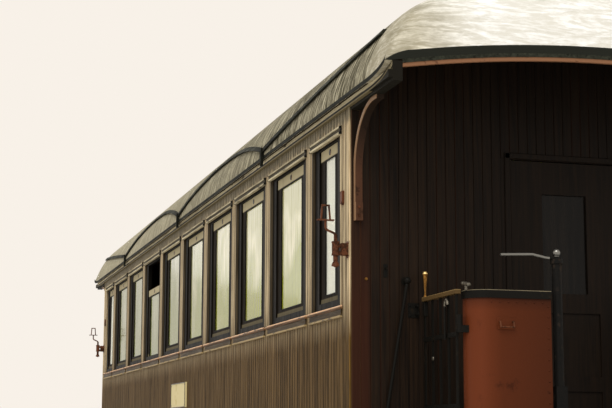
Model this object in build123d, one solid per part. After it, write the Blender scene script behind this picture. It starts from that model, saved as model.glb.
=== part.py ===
from build123d import *
from math import asin, atan2, cos, degrees, hypot, radians, sin
import os

# Passenger coach with a wooden body, open end platforms and two bogies.
# Millimetres. +X runs along the coach to its near end, -Y is the side that shows, +Z is up.
# The origin is midway along, on the floor that the wheel flanges stand on.

running_gap = 0.3
moving_gap = 6
overcut = 1

# Wheelsets
tread_radius = 460
flange_height = 28
flange_width = 32
flange_tip = 8
tread_fall = 4
tread_chamfer = 6
tyre_width = 135
wheel_gauge_inside = 1360
rim_depth = 62
web_width = 26
web_dish = 20
hub_radius = 120
hub_width = 175
hub_inset = 20
axle_radius = 78
axle_shoulder = 12
journal_radius = 60
journal_end_y = 1075

# Bogies
bogie_pitch = 7600
wheelbase = 1800
frame_plate_y = 950
frame_plate = 24
frame_plate_margin = 30
frame_plate_top = 820
frame_plate_waist = 560
frame_plate_foot = 330
horn_half = 122
horn_top = 640
horn_cheek = 68
horn_keep = 30
plate_end_corner = 220
lightening_hole = 90
axlebox_clearance = 6
axlebox_inset = 45
axlebox_wall = 35
journal_end_gap = 3.5
axlebox_half_height = 125
axlebox_top = 105
axlebox_lid = 85
axlebox_lid_thick = 24
spring_half_span = 470
spring_width = 88
spring_y = 1030
spring_camber = 70
spring_seat = 8
spring_eye_lap = 4
buckle_half = 55
buckle_cover = 16
leaf = 17
leaves = 4
shortest_leaf = 0.42
hanger_half = 10
hanger_half_width = 30
hanger_bracket_half = 22
hanger_bracket_low = 770
hanger_bracket_high = 815
bolster_half = 150
bolster_half_length = 880
bolster_low = 640
bolster_top = 930
bolster_gap = 6
bolster_tilt = 14
bolster_flat = 400
transom = 90
transom_low = 600
transom_high = 800
tie_half = 200
tie_low = 650
tie_high = 750
centre_height = 1000
centre_plate_radius = 150
centre_plate = 100
centre_pin_radius = 45
centre_pin_length = 120
centre_socket = 140

# Body
bay = 1122
bays = 8
end_bay = 916
half_width = 1400
wall = 60
wall_bottom = 1120
floor_top = 1228
floor_board = 48
cornice_z = 3418
eave_z = 3462
cornice_proud = 24
post_width = 190
corner_post = 214
end_wall = 46
canopy = 780
cantrail = 62

# Windows
sill_z = 2227
window_top = 3290
casing_side = 100
casing_top = 20
casing_bottom = 48
casing_set_back = 12
casing_thick = 40
sash_side = 88
sash_top = 68
sash_bottom = 45
sash_set_back = 24
sash_thick = 26
pane_set_back = 34
pane_thick = 6
lowered_light = -1.5
light_drop = 275
drip_low = 3286
drip_height = 52
drip_proud = 20
drip_bead = 13
drip_groove = 7
drip_reach = 42
sill_rod_radius = 12
sill_rod_reach = 64
sill_board_height = 48
sill_board_proud = 12
sill_board_lip = 20
sill_board_bead = 11
sill_board_cove = 6
sill_board_reach = 46

# Roof
roof_reach = 426
roof_thick = 38
eave_overhang = 45
shoulder_inset = 420
shoulder_z = 4015
crown_z = 4150
nose_shoulder_inset = 100
nose_shoulder_z = 3572
nose_crown_z = 3674
nose_lift = 53
nose_turn = 80
nose_turns = [0, 26, 48, 66, nose_turn]
strip_proud = 20
strip_height = 34
strip_low_z = 3512
strip_rise = 215
strip_end_rise = 250
strip_end_bulge = 9
strip_bays = 3
spout_half = 15
spout_drop = 50
fascia = 25
fascia_height = 22
bead_height = 22
bead_back = 4
vent_x = 4670
vent_y = 600
vent_foot_z = 4050
vent_neck_radius = 70
vent_neck_height = 200
vent_hood_radius = 112
vent_hood_height = 62
vent_cap_radius = 60
vent_cap_height = 38
vent_flare = 10

# End walls and doors
door_half = 365
door_top = 3150
door_leaf = 40
door_set = 2
hinge_foot = 252
hinge_head = 290
hinge_in = 12
knuckle_radius = 9
knuckle_half = 35
door_pin_radius = 4
door_pin_gap = 0.1
hinge_flap = 50
door_light_half = 150
door_light_height = 620
door_light_head = 210
door_panel_half = 230
door_panel_depth = 10
door_panel_foot = 102
door_lock_rail = 120
door_middle_rail = 90
knob_inset = 65
knob_height = 962
knob_stem_radius = 9
knob_radius = 24
knob_reach = 42
knob_width = 24
closet_wall_y = 435
closet_wall = 30

# Knee brackets
knee_foot_z = 2720
knee_bend = 380
knee_strap = 24
knee_width = 50
knee_foot = 60
knee_pad = 110
knee_pad_thick = 10
knee_inset = 40

# Underframe
solebar_inset = 380
solebar_width = 80
solebar_bottom = 945
solebar_web = 14
solebar_flange = 16
bearer_bottom = 1030
bearer_width = 110
bearer_pitch = 1000
middle_bearers = 6
end_bearer_inset = 204
outrigger_half = 40
outrigger_bottom = 1100
bolster_beam_half = 170
headstock = 60
headstock_inset = 170
headstock_notch_height = 65
headstock_notch_y = 1090
truss_post_x = 1100
truss_anchor_x = 2450
truss_rod_z = 640
truss_rod_radius = 16
truss_anchor_drop = 40
truss_post_half = 22
truss_post_foot = 24
truss_shoe_half = 60
truss_shoe_half_width = 35
truss_shoe_lap = 30
tank_x = 850
tank_inset = 600
tank_radius = 190
tank_half_length = 560
tank_drop = 400
tank_strap_x = 250
tank_strap_half = 25
tank_strap = 8
cylinder_x = 900
cylinder_radius = 230
cylinder_height = 360
cylinder_drop = 200
trunk_radius = 45
trunk_length = 80
cylinder_hanger_half = 25
cylinder_hanger_reach = 250
battery_x = 1450
battery_gap = 60
battery_half_length = 450
battery_half_width = 200
battery_height = 360
battery_drop = 180
battery_strap = 40
battery_strap_inset = 40

# Buffers and draw gear
buffer_y = 875
coupling_z = 1078
buffer_length = 620
buffer_base_radius = 150
buffer_base = 22
buffer_shell_radius = 112
buffer_shell_mouth = 92
buffer_shell_length = 330
buffer_stem_radius = 62
buffer_head_radius = 185
buffer_head_flat = 150
buffer_head = 30
buffer_head_neck = 120
buffer_head_back = 26
buffer_head_edge = 10
hook_plate_half = 120
hook_plate_half_height = 95
hook_plate = 20
hook_half_width = 25
hook_shank_half = 32
hook_bite_x = 205
hook_outer_radius = 78
hook_bite_radius = 38
hook_mouth_x = 160
hook_bite_lift = 12
shackle_x = 105
shackle_drop = 6
shackle_pin_radius = 17
shackle_pin_gap = 0.5
shackle_half = 20
shackle_inner_y = 32
shackle_outer_y = 50
trunnion_radius = 24
trunnion_half = 70
upper_trunnion_drop = 230
lower_trunnion_drop = 450
screw_radius = 19
screw_end = 480
bow_drop = 620
bow_half = 15
bow_outer_y = 74

# Platforms
dash_y = 920
dash_front = 710
dash_radius = 110
dash_return = 24
dash_sheet = 14
dash_top = 2211
dash_inner_y = 440
rail_height = 46
rail_width = 30
rail_proud = 8
gate_set_out = 40
gate_tip = 60
gate_bar = 8
gate_bar_half = 12
gate_bars = 5
gate_lift = 40
gate_top = 2264
gate_rail_height = 24
gate_rail_half = 16
gate_hinge_set = 54
gate_hinge_radius = 14
gate_pin_radius = 7
gate_pin_gap = 0.1
gate_eye_half = 30
gate_socket = 40
gate_hinge_heights = [1400, 2090]
gate_flat_heights = [1600, 2000]
gate_flat = 26
gate_clear = 22
gate_foot_lap = 3
hand_bar_top = (1059, 2364)
hand_bar_foot = (1223, 1400)
hand_bar_stand = 40
hand_bar_radius = 10
hand_bar_bend = 28
rosette_radius = 27
rosette = 6
column_inset = 45
column_y = 378
column_radius = 28
column_top = 2420
column_box_half = 34
column_box_top = 1725
column_base_radius = 50
column_base = 16
column_cap_radius = 36
column_cap = 30
column_neck_radius = 14
column_neck = 16
column_knob_radius = 23
column_knob_sink = 5
lever_radius = 9
lever_path = [(0, 32), (60, 32), (150, 50), (345, 42)]
lever_bend = 60
step_tops = [895, 562]
step_thick = 32
step_inner = 40
step_gap = 25
step_set_in = 10
step_cheek = 12
step_cheek_width = 60
step_cheek_foot = 480
step_arm = 40
step_arm_set_in = 40
plate_hinge_x = 14
plate_lift = 10
plate_half = 330
plate_length = 400
plate_thick = 10
plate_start = 17
plate_eye_radius = 11
plate_eye_half = 50
plate_eye_y = 240
plate_lug = 30
plate_lug_drop = 70
plate_pin_radius = 6
plate_pin_gap = 0.1
plate_tongue = 30

# Side fittings
lamp_inset = 42
lamp_plate_half = 36
lamp_plate_height = 100
lamp_plate_foot = 2500
lamp_plate = 8
lamp_socket_y = 84
lamp_socket_radius = 17
lamp_socket_height = 80
lamp_arm_half = 9
lamp_arm_inset = 28
lamp_tail_radius = 7
lamp_tail = 44
lamp_ball_radius = 20
lamp_blade_y = 146
lamp_blade_foot = 228
lamp_rod_lap = 4
lamp_rod_rise = 52
lamp_rod_shelf = 78
lamp_rod_bend = 22
lamp_shelf_half = 52
lamp_shelf_half_width = 14
lamp_shelf = 8
lamp_loop_foot = 33
lamp_loop_top = 26
lamp_loop_height = 90
lamp_loop_bar = 10
lamp_loop_half_thick = 4
clip_inset = 140
clip_half = 14
clip_thick = 14
clip_foot = 2836
clip_height = 66
board_half = 350
board_foot = 1700
board_height = 230
board_thick = 22

# Inside
seat_rows = 7
seat_depth = 450
seat_height = 430
seat_board = 40
back_height = 960
back_half = 18
aisle_half = 280
seat_leg = 40
wall_seat_shift = 60
seat_wall_leg = 60
partition_half = 15
partition_set = 20
partition_gap_half = 420
partition_door_top = 3200

half_body = bays / 2 * bay + end_bay
half_roof = half_body + canopy
roof_half = half_body + roof_reach
axle_z = flange_height + tread_radius
floor_bottom = floor_top - floor_board
pivot_x = bogie_pitch / 2
eave_y = half_width + eave_overhang
shoulder_y = half_width - shoulder_inset
nose_shoulder_y = half_width - nose_shoulder_inset
inside_y = half_width - wall
solebar_y = half_width - solebar_inset
solebar_outer = solebar_y + solebar_width
battery_y = solebar_y - battery_gap - battery_half_width
tank_y = solebar_y - tank_inset
headstock_half = half_width - headstock_inset
axlebox_inner_y = frame_plate_y - axlebox_inset
axlebox_outer_y = journal_end_y + axlebox_wall
frame_plate_half_length = wheelbase / 2 + spring_half_span + frame_plate_margin
dash_x = half_body + dash_front
dash_back = dash_x - dash_radius - dash_return
gate_x = dash_back + gate_hinge_set
gate_y = dash_y + gate_set_out
door_light_high = door_top - door_light_head
door_light_low = door_light_high - door_light_height
door_panel_low = floor_top + door_panel_foot
door_panel_high = door_light_low - door_lock_rail
hinge_low = floor_top + hinge_foot
hinge_high = door_top - hinge_head
hinge_heights = [hinge_low, (hinge_low + hinge_high) / 2, hinge_high]
door_hinge_x = half_body - end_wall - hinge_in
door_hinge_y = door_half - moving_gap
ends = [("near", 1), ("far", -1)]
sides = [("left", -1), ("right", 1)]
shoulder = (shoulder_y, shoulder_z)
soffit = (shoulder_y - roof_thick / 3, shoulder_z - roof_thick - running_gap)
soffit_crown = crown_z - roof_thick - running_gap


def block(x0, x1, y0, y1, z0, z1):
    size = (abs(x1 - x0), abs(y1 - y0), abs(z1 - z0))
    return Pos((x0 + x1) / 2, (y0 + y1) / 2, (z0 + z1) / 2) * Box(*size)


def to_end(piece, end):
    return piece if end > 0 else mirror(piece, about=Plane.YZ)


def to_side(piece, side):
    return piece if side > 0 else mirror(piece, about=Plane.XZ)


def both_sides(piece):
    return [to_side(piece, side) for _, side in sides]


def both_ends(piece):
    return [to_end(piece, end) for _, end in ends]


def four_corners(piece):
    return [to_side(to_end(piece, end), side) for _, end in ends for _, side in sides]


def joined(pieces):
    whole = pieces[0]
    for piece in pieces[1:]:
        whole = whole + piece
    return whole


def lying_x(x0, x1, y, z, radius):
    return Pos((x0 + x1) / 2, y, z) * Rot(0, 90, 0) * Cylinder(radius, abs(x1 - x0))


def lying_y(x, y0, y1, z, radius):
    return Pos(x, (y0 + y1) / 2, z) * Rot(90, 0, 0) * Cylinder(radius, abs(y1 - y0))


def upright(x, y, z0, z1, radius):
    return Pos(x, y, (z0 + z1) / 2) * Cylinder(radius, abs(z1 - z0))


def rod(points, radius, bend):
    path = FilletPolyline(*points, radius=bend)
    return sweep(Plane(path @ 0, z_dir=path % 0) * Circle(radius), path=path)


def save(node, *pieces):
    solids = []
    for piece in pieces:
        solids += piece.solids()
    export_step(Compound(children=solids), f"parts/{node}.step")


# The roof's cross-section: one flat crown arc with a tangent arc down each side to the eave.
def outline_edges(x, shoulder, crown_height, eave, low):
    half, high = shoulder
    rise = crown_height - high
    radius = (half * half + rise * rise) / (2 * rise)
    slope = asin(half / radius)
    left = Vector(x, -half, high)
    right = Vector(x, half, high)
    crown = Edge.make_three_point_arc(left, Vector(x, 0, crown_height), right)
    down = Vector(0, cos(slope), -sin(slope))
    fall_right = Edge.make_tangent_arc(right, down, Vector(x, eave, low))
    fall_left = Edge.make_tangent_arc(left, Vector(0, -down.Y, down.Z), Vector(x, -eave, low))
    return [fall_left, crown, fall_right]


def shell_wire(x, shoulder, crown_height, low):
    outer = outline_edges(x, shoulder, crown_height, eave_y, low)
    under = (shoulder[0] - roof_thick / 3, shoulder[1] - roof_thick)
    inner = outline_edges(x, under, crown_height - roof_thick, eave_y - roof_thick, low)
    lips = []
    for side in (-1, 1):
        lips.append(Edge.make_line((x, side * eave_y, low), (x, side * (eave_y - roof_thick), low)))
    return Wire(outer + inner + lips)


def under_roof(x0, x1, shoulder, crown_height, eave, low=eave_z):
    edges = outline_edges(x0, shoulder, crown_height, eave, low)
    edges.append(Edge.make_line((x0, -eave, low), (x0, eave, low)))
    return Solid.extrude(Face(Wire(edges)), Vector(x1 - x0, 0, 0))


# The roof end turns down like a quarter ellipse, and its eave lifts a little towards the lip.
def nose_section(turn):
    drop = (1 - cos(radians(turn))) / (1 - cos(radians(nose_turn)))
    x = roof_half + (half_roof - roof_half) * sin(radians(turn)) / sin(radians(nose_turn))
    y = shoulder_y + (nose_shoulder_y - shoulder_y) * drop
    z = shoulder_z + (nose_shoulder_z - shoulder_z) * drop
    return x, (y, z), crown_z + (nose_crown_z - crown_z) * drop, eave_z + nose_lift * drop


def make_roof():
    section = Face(shell_wire(-roof_half, shoulder, crown_z, eave_z))
    save("roof", Solid.extrude(section, Vector(2 * roof_half, 0, 0)))
    wires = [shell_wire(*nose_section(turn)) for turn in nose_turns]
    save("roof_ends", *both_ends(Solid.make_loft(wires)))


# A lining board and a bead follow the arch under each roof end's lip.
def make_fascias():
    x, lip_shoulder, lip_crown, lip_low = nose_section(nose_turn)
    under = (lip_shoulder[0] - roof_thick / 3, lip_shoulder[1] - roof_thick - running_gap)
    crown = lip_crown - roof_thick - running_gap
    reach = inside_y - running_gap
    foot = eave_z - fascia_height - bead_height
    arch = under_roof(x - fascia, x, under, crown, eave_y - roof_thick, lip_low)
    arch = arch & block(x - fascia, x, -reach, reach, lip_low, lip_crown)
    arch = arch + block(x - fascia, x, -reach, reach, foot, lip_low)
    lower = Pos(0, 0, -fascia_height) * arch
    board = arch - lower
    bead = (arch & lower) - Pos(0, 0, -bead_height) * lower
    bead = bead & block(x - fascia, x - bead_back, -reach, reach, foot, lip_crown)
    save("canopy_fascias", *both_ends(board))
    save("canopy_beads", *both_ends(bead))


# Rain strips: bent battens in arches along each roof side, with their low points over posts.
def strip_band(x0, z0, xm, zm, x1, z1):
    low = Edge.make_three_point_arc((x0, 0, z0), (xm, 0, zm), (x1, 0, z1))
    high = Edge.make_three_point_arc(
        (x0, 0, z0 + strip_height), (xm, 0, zm + strip_height), (x1, 0, z1 + strip_height)
    )
    tips = [Edge.make_line((x, 0, z), (x, 0, z + strip_height)) for x, z in ((x0, z0), (x1, z1))]
    return Solid.extrude(Face(Wire([low, high] + tips)), Vector(0, eave_y + strip_proud, 0))


def make_rain_strips():
    span = strip_bays * bay
    run = roof_half - span
    bulge = strip_end_rise / 2 + strip_end_bulge
    arches = [
        (0, strip_low_z, span / 2, strip_low_z + strip_rise, span, strip_low_z),
        (span, strip_low_z, span + run / 2, strip_low_z + bulge, roof_half, strip_low_z + strip_end_rise),
    ]
    raised = (shoulder_y, shoulder_z + strip_proud)
    core = under_roof(-roof_half, roof_half, shoulder, crown_z, eave_y)
    skin = under_roof(-roof_half, roof_half, raised, crown_z + strip_proud, eave_y + strip_proud) - core
    half = joined([strip_band(*arch) & skin for arch in arches])
    line = half + mirror(half, about=Plane.YZ)
    for x in (-span, 0, span):
        spout = block(x - spout_half, x + spout_half, eave_y, eave_y + strip_proud,
                      eave_z - spout_drop, strip_low_z + strip_height)
        line = line + (spout - core)
    save("rain_strips", *both_sides(line))


def make_roof_vents():
    core = under_roof(-roof_half, roof_half, shoulder, crown_z, eave_y)
    hood_top = vent_neck_height + vent_hood_height
    profile = Polyline(
        (0, 0), (vent_neck_radius, 0), (vent_neck_radius, vent_neck_height - vent_flare),
        (vent_hood_radius, vent_neck_height), (vent_hood_radius, hood_top),
        (vent_cap_radius, hood_top + vent_cap_height), (0, hood_top + vent_cap_height), (0, 0)
    )
    turned = revolve(Plane.XZ * make_face(profile), Axis.Z)
    vents = []
    for x in (-vent_x, 0, vent_x):
        vents += both_sides(Pos(x, vent_y, vent_foot_z) * turned - core)
    save("roof_vents", *vents)


# Window places along a side: (middle, clear width between posts).
def window_places():
    places = [((k - bays / 2 + 0.5) * bay, bay - post_width) for k in range(bays)]
    inner = bays / 2 * bay + post_width / 2
    outer = half_body - corner_post
    for end in (-1, 1):
        places.append((end * (inner + outer) / 2, outer - inner))
    return places


def ring(middle, width, low, high, side_bar, top_bar, bottom_bar, face_y, thick):
    outer = block(middle - width / 2, middle + width / 2, face_y - thick, face_y, low, high)
    cut = block(
        middle - width / 2 + side_bar, middle + width / 2 - side_bar,
        face_y - thick - overcut, face_y + overcut, low + bottom_bar, high - top_bar
    )
    return outer - cut


def make_sides():
    shell = block(-half_body, half_body, inside_y, half_width, wall_bottom, eave_z)
    for middle, width in window_places():
        shell = shell - block(
            middle - width / 2, middle + width / 2,
            inside_y - overcut, half_width + overcut, sill_z, window_top
        )
    lip_low = eave_z + nose_lift
    wedge = Polyline((roof_half, eave_z), (half_roof, eave_z), (half_roof, lip_low), (roof_half, eave_z))
    filler = Pos(0, half_width, 0) * extrude(Plane.XZ * make_face(wedge), wall)
    beam = block(half_body, half_roof, inside_y, half_width, eave_z - cantrail, eave_z) + filler
    for arm in both_ends(beam):
        shell = shell + arm
    for name, side in sides:
        save(f"side_{name}", to_side(shell, side))


def make_windows():
    casings, sashes, panes = [], [], []
    low = sill_z + casing_bottom
    high = window_top - casing_top
    for middle, width in window_places():
        casings += both_sides(ring(
            middle, width, sill_z, window_top, casing_side, casing_top, casing_bottom,
            half_width - casing_set_back, casing_thick
        ))
        inner = width - 2 * casing_side
        sash_face = half_width - sash_set_back
        pane_face = half_width - pane_set_back
        for name, side in sides:
            is_lowered = name == "left" and middle == lowered_light * bay
            drop = light_drop if is_lowered else 0
            rail = 0 if is_lowered else sash_bottom
            sash = ring(middle, inner, low, high - drop, sash_side, sash_top, rail, sash_face, sash_thick)
            pane = block(
                middle - inner / 2 + sash_side, middle + inner / 2 - sash_side,
                pane_face - pane_thick, pane_face, low + rail, high - drop - sash_top
            )
            sashes.append(to_side(sash, side))
            panes.append(to_side(pane, side))
    save("window_casings", *casings)
    save("window_sashes", *sashes)
    save("window_panes", *panes)


# Mouldings over and under each window: (distance out from the side, height) round each section.
def make_mouldings():
    drip_high = drip_low + drip_height
    face = half_width + drip_proud
    drip_section = [
        (half_width, drip_low), (face, drip_low), (face, drip_low + drip_bead),
        (face - drip_groove, drip_low + drip_bead + drip_groove / 2),
        (face - drip_groove, drip_high - drip_bead - drip_groove / 2),
        (face, drip_high - drip_bead), (face, drip_high - drip_groove / 2),
        (half_width + drip_groove, drip_high), (half_width, drip_high), (half_width, drip_low)
    ]
    board_top = sill_z - 2 * sill_rod_radius
    board_low = board_top - sill_board_height
    lip = half_width + sill_board_lip
    flat = half_width + sill_board_proud
    sill_section = [
        (half_width, board_low), (lip, board_low), (lip, board_low + sill_board_bead),
        (flat, board_low + sill_board_bead + sill_board_cove), (flat, board_top),
        (half_width, board_top), (half_width, board_low)
    ]
    drips, sills = [], []
    for middle, width in window_places():
        for section, reach, kept in (
            (drip_section, drip_reach, drips), (sill_section, sill_board_reach, sills)
        ):
            half = width / 2 + reach
            strip = extrude(Plane.YZ.offset(middle - half) * make_face(Polyline(*section)), 2 * half)
            kept += both_sides(strip)
        half = width / 2 + sill_rod_reach
        sills += both_sides(lying_x(
            middle - half, middle + half,
            half_width + sill_rod_radius, sill_z - sill_rod_radius, sill_rod_radius
        ))
    cornice = block(-half_roof, half_roof, half_width, half_width + cornice_proud, cornice_z, eave_z)
    save("drip_mouldings", *drips)
    save("sill_bars", *sills)
    save("cornices", *both_sides(cornice))


# End walls carry the fixed hinge knuckles and pins of the end doors.
def make_end_walls():
    face = half_body - end_wall
    ceiling = under_roof(face, half_body, soffit, soffit_crown, eave_y - roof_thick)
    room = block(face, half_body, -inside_y, inside_y, floor_top, eave_z)
    panel = (room + ceiling) & block(face, half_body, -inside_y, inside_y, floor_top, crown_z)
    panel = panel - block(face - overcut, half_body + overcut, -door_half, door_half,
                          floor_top - overcut, door_top)
    low = knuckle_half + running_gap
    high = low + 2 * knuckle_half
    for z in hinge_heights:
        panel = joined([
            panel,
            block(door_hinge_x - door_pin_radius, face, door_half, door_half + hinge_flap, z + low, z + high),
            upright(door_hinge_x, door_hinge_y, z + low, z + high, knuckle_radius),
            upright(door_hinge_x, door_hinge_y, z - knuckle_half, z + low + overcut, door_pin_radius),
            block(door_hinge_x - knuckle_radius, door_hinge_x + door_pin_radius,
                  door_hinge_y, door_half + door_pin_radius, z + low, z + high),
        ])
    save("end_walls", *both_ends(panel))


def make_end_doors():
    inner = half_body - end_wall + door_set
    outer = inner + door_leaf
    edge = door_half - moving_gap
    leaf_solid = block(inner, outer, -edge, edge, floor_top + moving_gap, door_top - moving_gap)
    leaf_solid = leaf_solid - block(inner - overcut, outer + overcut, -door_light_half, door_light_half,
                                    door_light_low, door_light_high)
    panel_height = (door_panel_high - door_panel_low - door_middle_rail) / 2
    for low in (door_panel_low, door_panel_high - panel_height):
        leaf_solid = leaf_solid - block(outer - door_panel_depth, outer + overcut,
                                        -door_panel_half, door_panel_half, low, low + panel_height)
    bore = door_pin_radius + door_pin_gap
    knob_y = knob_inset - door_half
    knob_z = floor_top + knob_height
    for z in hinge_heights:
        eye = upright(door_hinge_x, door_hinge_y, z - knuckle_half, z + knuckle_half, knuckle_radius)
        eye = eye + block(door_hinge_x, inner, door_hinge_y - hinge_flap, door_hinge_y,
                          z - knuckle_half, z + knuckle_half)
        hole = upright(door_hinge_x, door_hinge_y, z - knuckle_half - overcut,
                       z + knuckle_half + overcut, bore)
        leaf_solid = leaf_solid + (eye - hole)
    leaf_solid = joined([
        leaf_solid,
        lying_x(outer, outer + knob_reach, knob_y, knob_z, knob_stem_radius),
        lying_x(outer + knob_reach, outer + knob_reach + knob_width, knob_y, knob_z, knob_radius),
    ])
    middle = (inner + outer) / 2
    pane = block(middle - pane_thick / 2, middle + pane_thick / 2, -door_light_half, door_light_half,
                 door_light_low, door_light_high)
    for name, end in ends:
        save(f"end_door_{name}", to_end(leaf_solid, end))
        save(f"door_pane_{name}", to_end(pane, end))


def make_knee_brackets():
    top = eave_z - cantrail
    centre_z = top - knee_bend
    outer_y = half_width - knee_inset + knee_strap
    inner_y = outer_y - knee_width
    leg = block(half_body, half_body + knee_strap, inner_y, outer_y, knee_foot_z, centre_z)
    disc = Cylinder(knee_bend, knee_width) - Cylinder(knee_bend - knee_strap, knee_width + overcut)
    arc = Pos(half_body + knee_bend, (inner_y + outer_y) / 2, centre_z) * Rot(90, 0, 0) * disc
    arc = arc & block(half_body, half_body + knee_bend, inner_y, outer_y, centre_z, top)
    foot = block(half_body + knee_bend, half_body + knee_bend + knee_foot, inner_y, outer_y,
                 top - knee_strap, top)
    pad = block(half_body, half_body + knee_strap + knee_pad_thick, inner_y, outer_y,
                knee_foot_z, knee_foot_z + knee_pad)
    save("knee_brackets", *four_corners(leg + arc + foot + pad))


def make_underframe():
    save("solebars", *both_sides(channel(half_roof - headstock)))
    beam = block(half_roof - headstock, half_roof, -headstock_half, headstock_half,
                 solebar_bottom, floor_bottom)
    for notch in both_sides(block(half_roof - headstock - overcut, half_roof + overcut, headstock_notch_y,
                                  headstock_half + overcut, solebar_bottom - overcut,
                                  solebar_bottom + headstock_notch_height)):
        beam = beam - notch
    save("headstocks", *both_ends(beam))
    end_x = half_body - end_bearer_inset
    rows = [(k - (middle_bearers - 1) / 2) * bearer_pitch for k in range(middle_bearers)] + [-end_x, end_x]
    bearers = []
    for x in rows:
        bearers.append(block(x - bearer_width / 2, x + bearer_width / 2, -solebar_y, solebar_y,
                             bearer_bottom, floor_bottom))
    for x in rows + [-pivot_x, pivot_x]:
        bearers += both_sides(block(x - outrigger_half, x + outrigger_half, solebar_outer, inside_y,
                                    outrigger_bottom, floor_bottom))
    bolster = block(pivot_x - bolster_beam_half, pivot_x + bolster_beam_half, -solebar_y, solebar_y,
                    bearer_bottom, floor_bottom)
    plate = upright(pivot_x, 0, centre_height + running_gap, bearer_bottom, centre_plate_radius)
    pin = upright(pivot_x, 0, centre_height - centre_pin_length, bearer_bottom, centre_pin_radius)
    bearers += both_ends(bolster + plate + pin)
    save("cross_bearers", *bearers)
    save("floor", block(-half_body, half_body, -inside_y, inside_y, floor_bottom, floor_top))
    platform = block(half_body, half_roof, -solebar_outer, solebar_outer, floor_bottom, floor_top)
    save("platform_floors", *both_ends(platform))


# A rolled channel with its back outwards, filled by the floor's edge timber above the bearers' underside.
def channel(reach):
    bar = block(-reach, reach, solebar_y, solebar_outer, solebar_bottom, floor_bottom)
    hollow = block(-reach - overcut, reach + overcut, solebar_y - overcut, solebar_outer - solebar_web,
                   solebar_bottom + solebar_flange, bearer_bottom)
    return bar - hollow


def make_truss_rods():
    y = solebar_y + solebar_width / 2
    anchor_z = solebar_bottom - truss_anchor_drop
    rise = anchor_z - truss_rod_z
    run = hypot(truss_anchor_x - truss_post_x, rise)
    tilt = degrees(atan2(rise, truss_anchor_x - truss_post_x))
    slope = Pos((truss_anchor_x + truss_post_x) / 2, y, (anchor_z + truss_rod_z) / 2)
    slope = slope * Rot(0, 90 - tilt, 0) * Cylinder(truss_rod_radius, run)
    post = block(truss_post_x - truss_post_half, truss_post_x + truss_post_half, y - truss_post_half,
                 y + truss_post_half, truss_rod_z - truss_post_foot, solebar_bottom)
    shoe = block(truss_anchor_x - truss_shoe_half, truss_anchor_x + truss_shoe_half,
                 y - truss_shoe_half_width, y + truss_shoe_half_width, anchor_z - truss_shoe_lap, solebar_bottom)
    half = slope + post + shoe
    middle = lying_x(-truss_post_x, truss_post_x, y, truss_rod_z, truss_rod_radius)
    save("truss_rods", *both_sides(joined([middle, half, mirror(half, about=Plane.YZ)])))


def make_underfloor_gear():
    tank_z = floor_bottom - tank_drop
    tank = lying_x(tank_x - tank_half_length, tank_x + tank_half_length, -tank_y, tank_z, tank_radius)
    reach = tank_radius + tank_strap
    for x in (tank_x - tank_strap_x, tank_x + tank_strap_x):
        tank = tank + block(x - tank_strap_half, x + tank_strap_half, -tank_y - reach, -tank_y + reach,
                            tank_z, floor_bottom)
    top = floor_bottom - cylinder_drop
    low = top - cylinder_height
    cylinder = joined([
        upright(-cylinder_x, 0, low, top, cylinder_radius),
        upright(-cylinder_x, 0, low - trunk_length, low, trunk_radius),
        block(-cylinder_x - cylinder_hanger_half, -cylinder_x + cylinder_hanger_half,
              -cylinder_hanger_reach, cylinder_hanger_reach, top, floor_bottom),
    ])
    box_top = floor_bottom - battery_drop
    x0 = -battery_x - battery_half_length
    x1 = -battery_x + battery_half_length
    box = block(x0, x1, battery_y - battery_half_width, battery_y + battery_half_width,
                box_top - battery_height, box_top)
    for x in (x0 + battery_strap_inset, x1 - battery_strap_inset - battery_strap):
        box = box + block(x, x + battery_strap, battery_y - battery_half_width + battery_strap / 2,
                          battery_y + battery_half_width - battery_strap / 2, box_top, floor_bottom)
    save("brake_reservoir", tank)
    save("brake_cylinder", cylinder)
    save("battery_box", box)


# A buffer is turned in one profile: (radius, distance out from the headstock).
def make_buffers():
    head_back = buffer_length - buffer_head
    outline = Polyline(
        (0, 0), (buffer_base_radius, 0), (buffer_base_radius, buffer_base),
        (buffer_shell_radius, buffer_base * 2), (buffer_shell_mouth, buffer_shell_length),
        (buffer_stem_radius, buffer_shell_length), (buffer_stem_radius, head_back - buffer_head),
        (buffer_head_neck, head_back), (buffer_head_radius, buffer_length - buffer_head_back),
        (buffer_head_radius, buffer_length - buffer_head_edge), (buffer_head_flat, buffer_length),
        (0, buffer_length), (0, 0)
    )
    turned = revolve(Plane.XZ * make_face(outline), Axis.Z)
    save("buffers", *four_corners(Pos(half_roof, buffer_y, coupling_z) * Rot(0, 90, 0) * turned))


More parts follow.
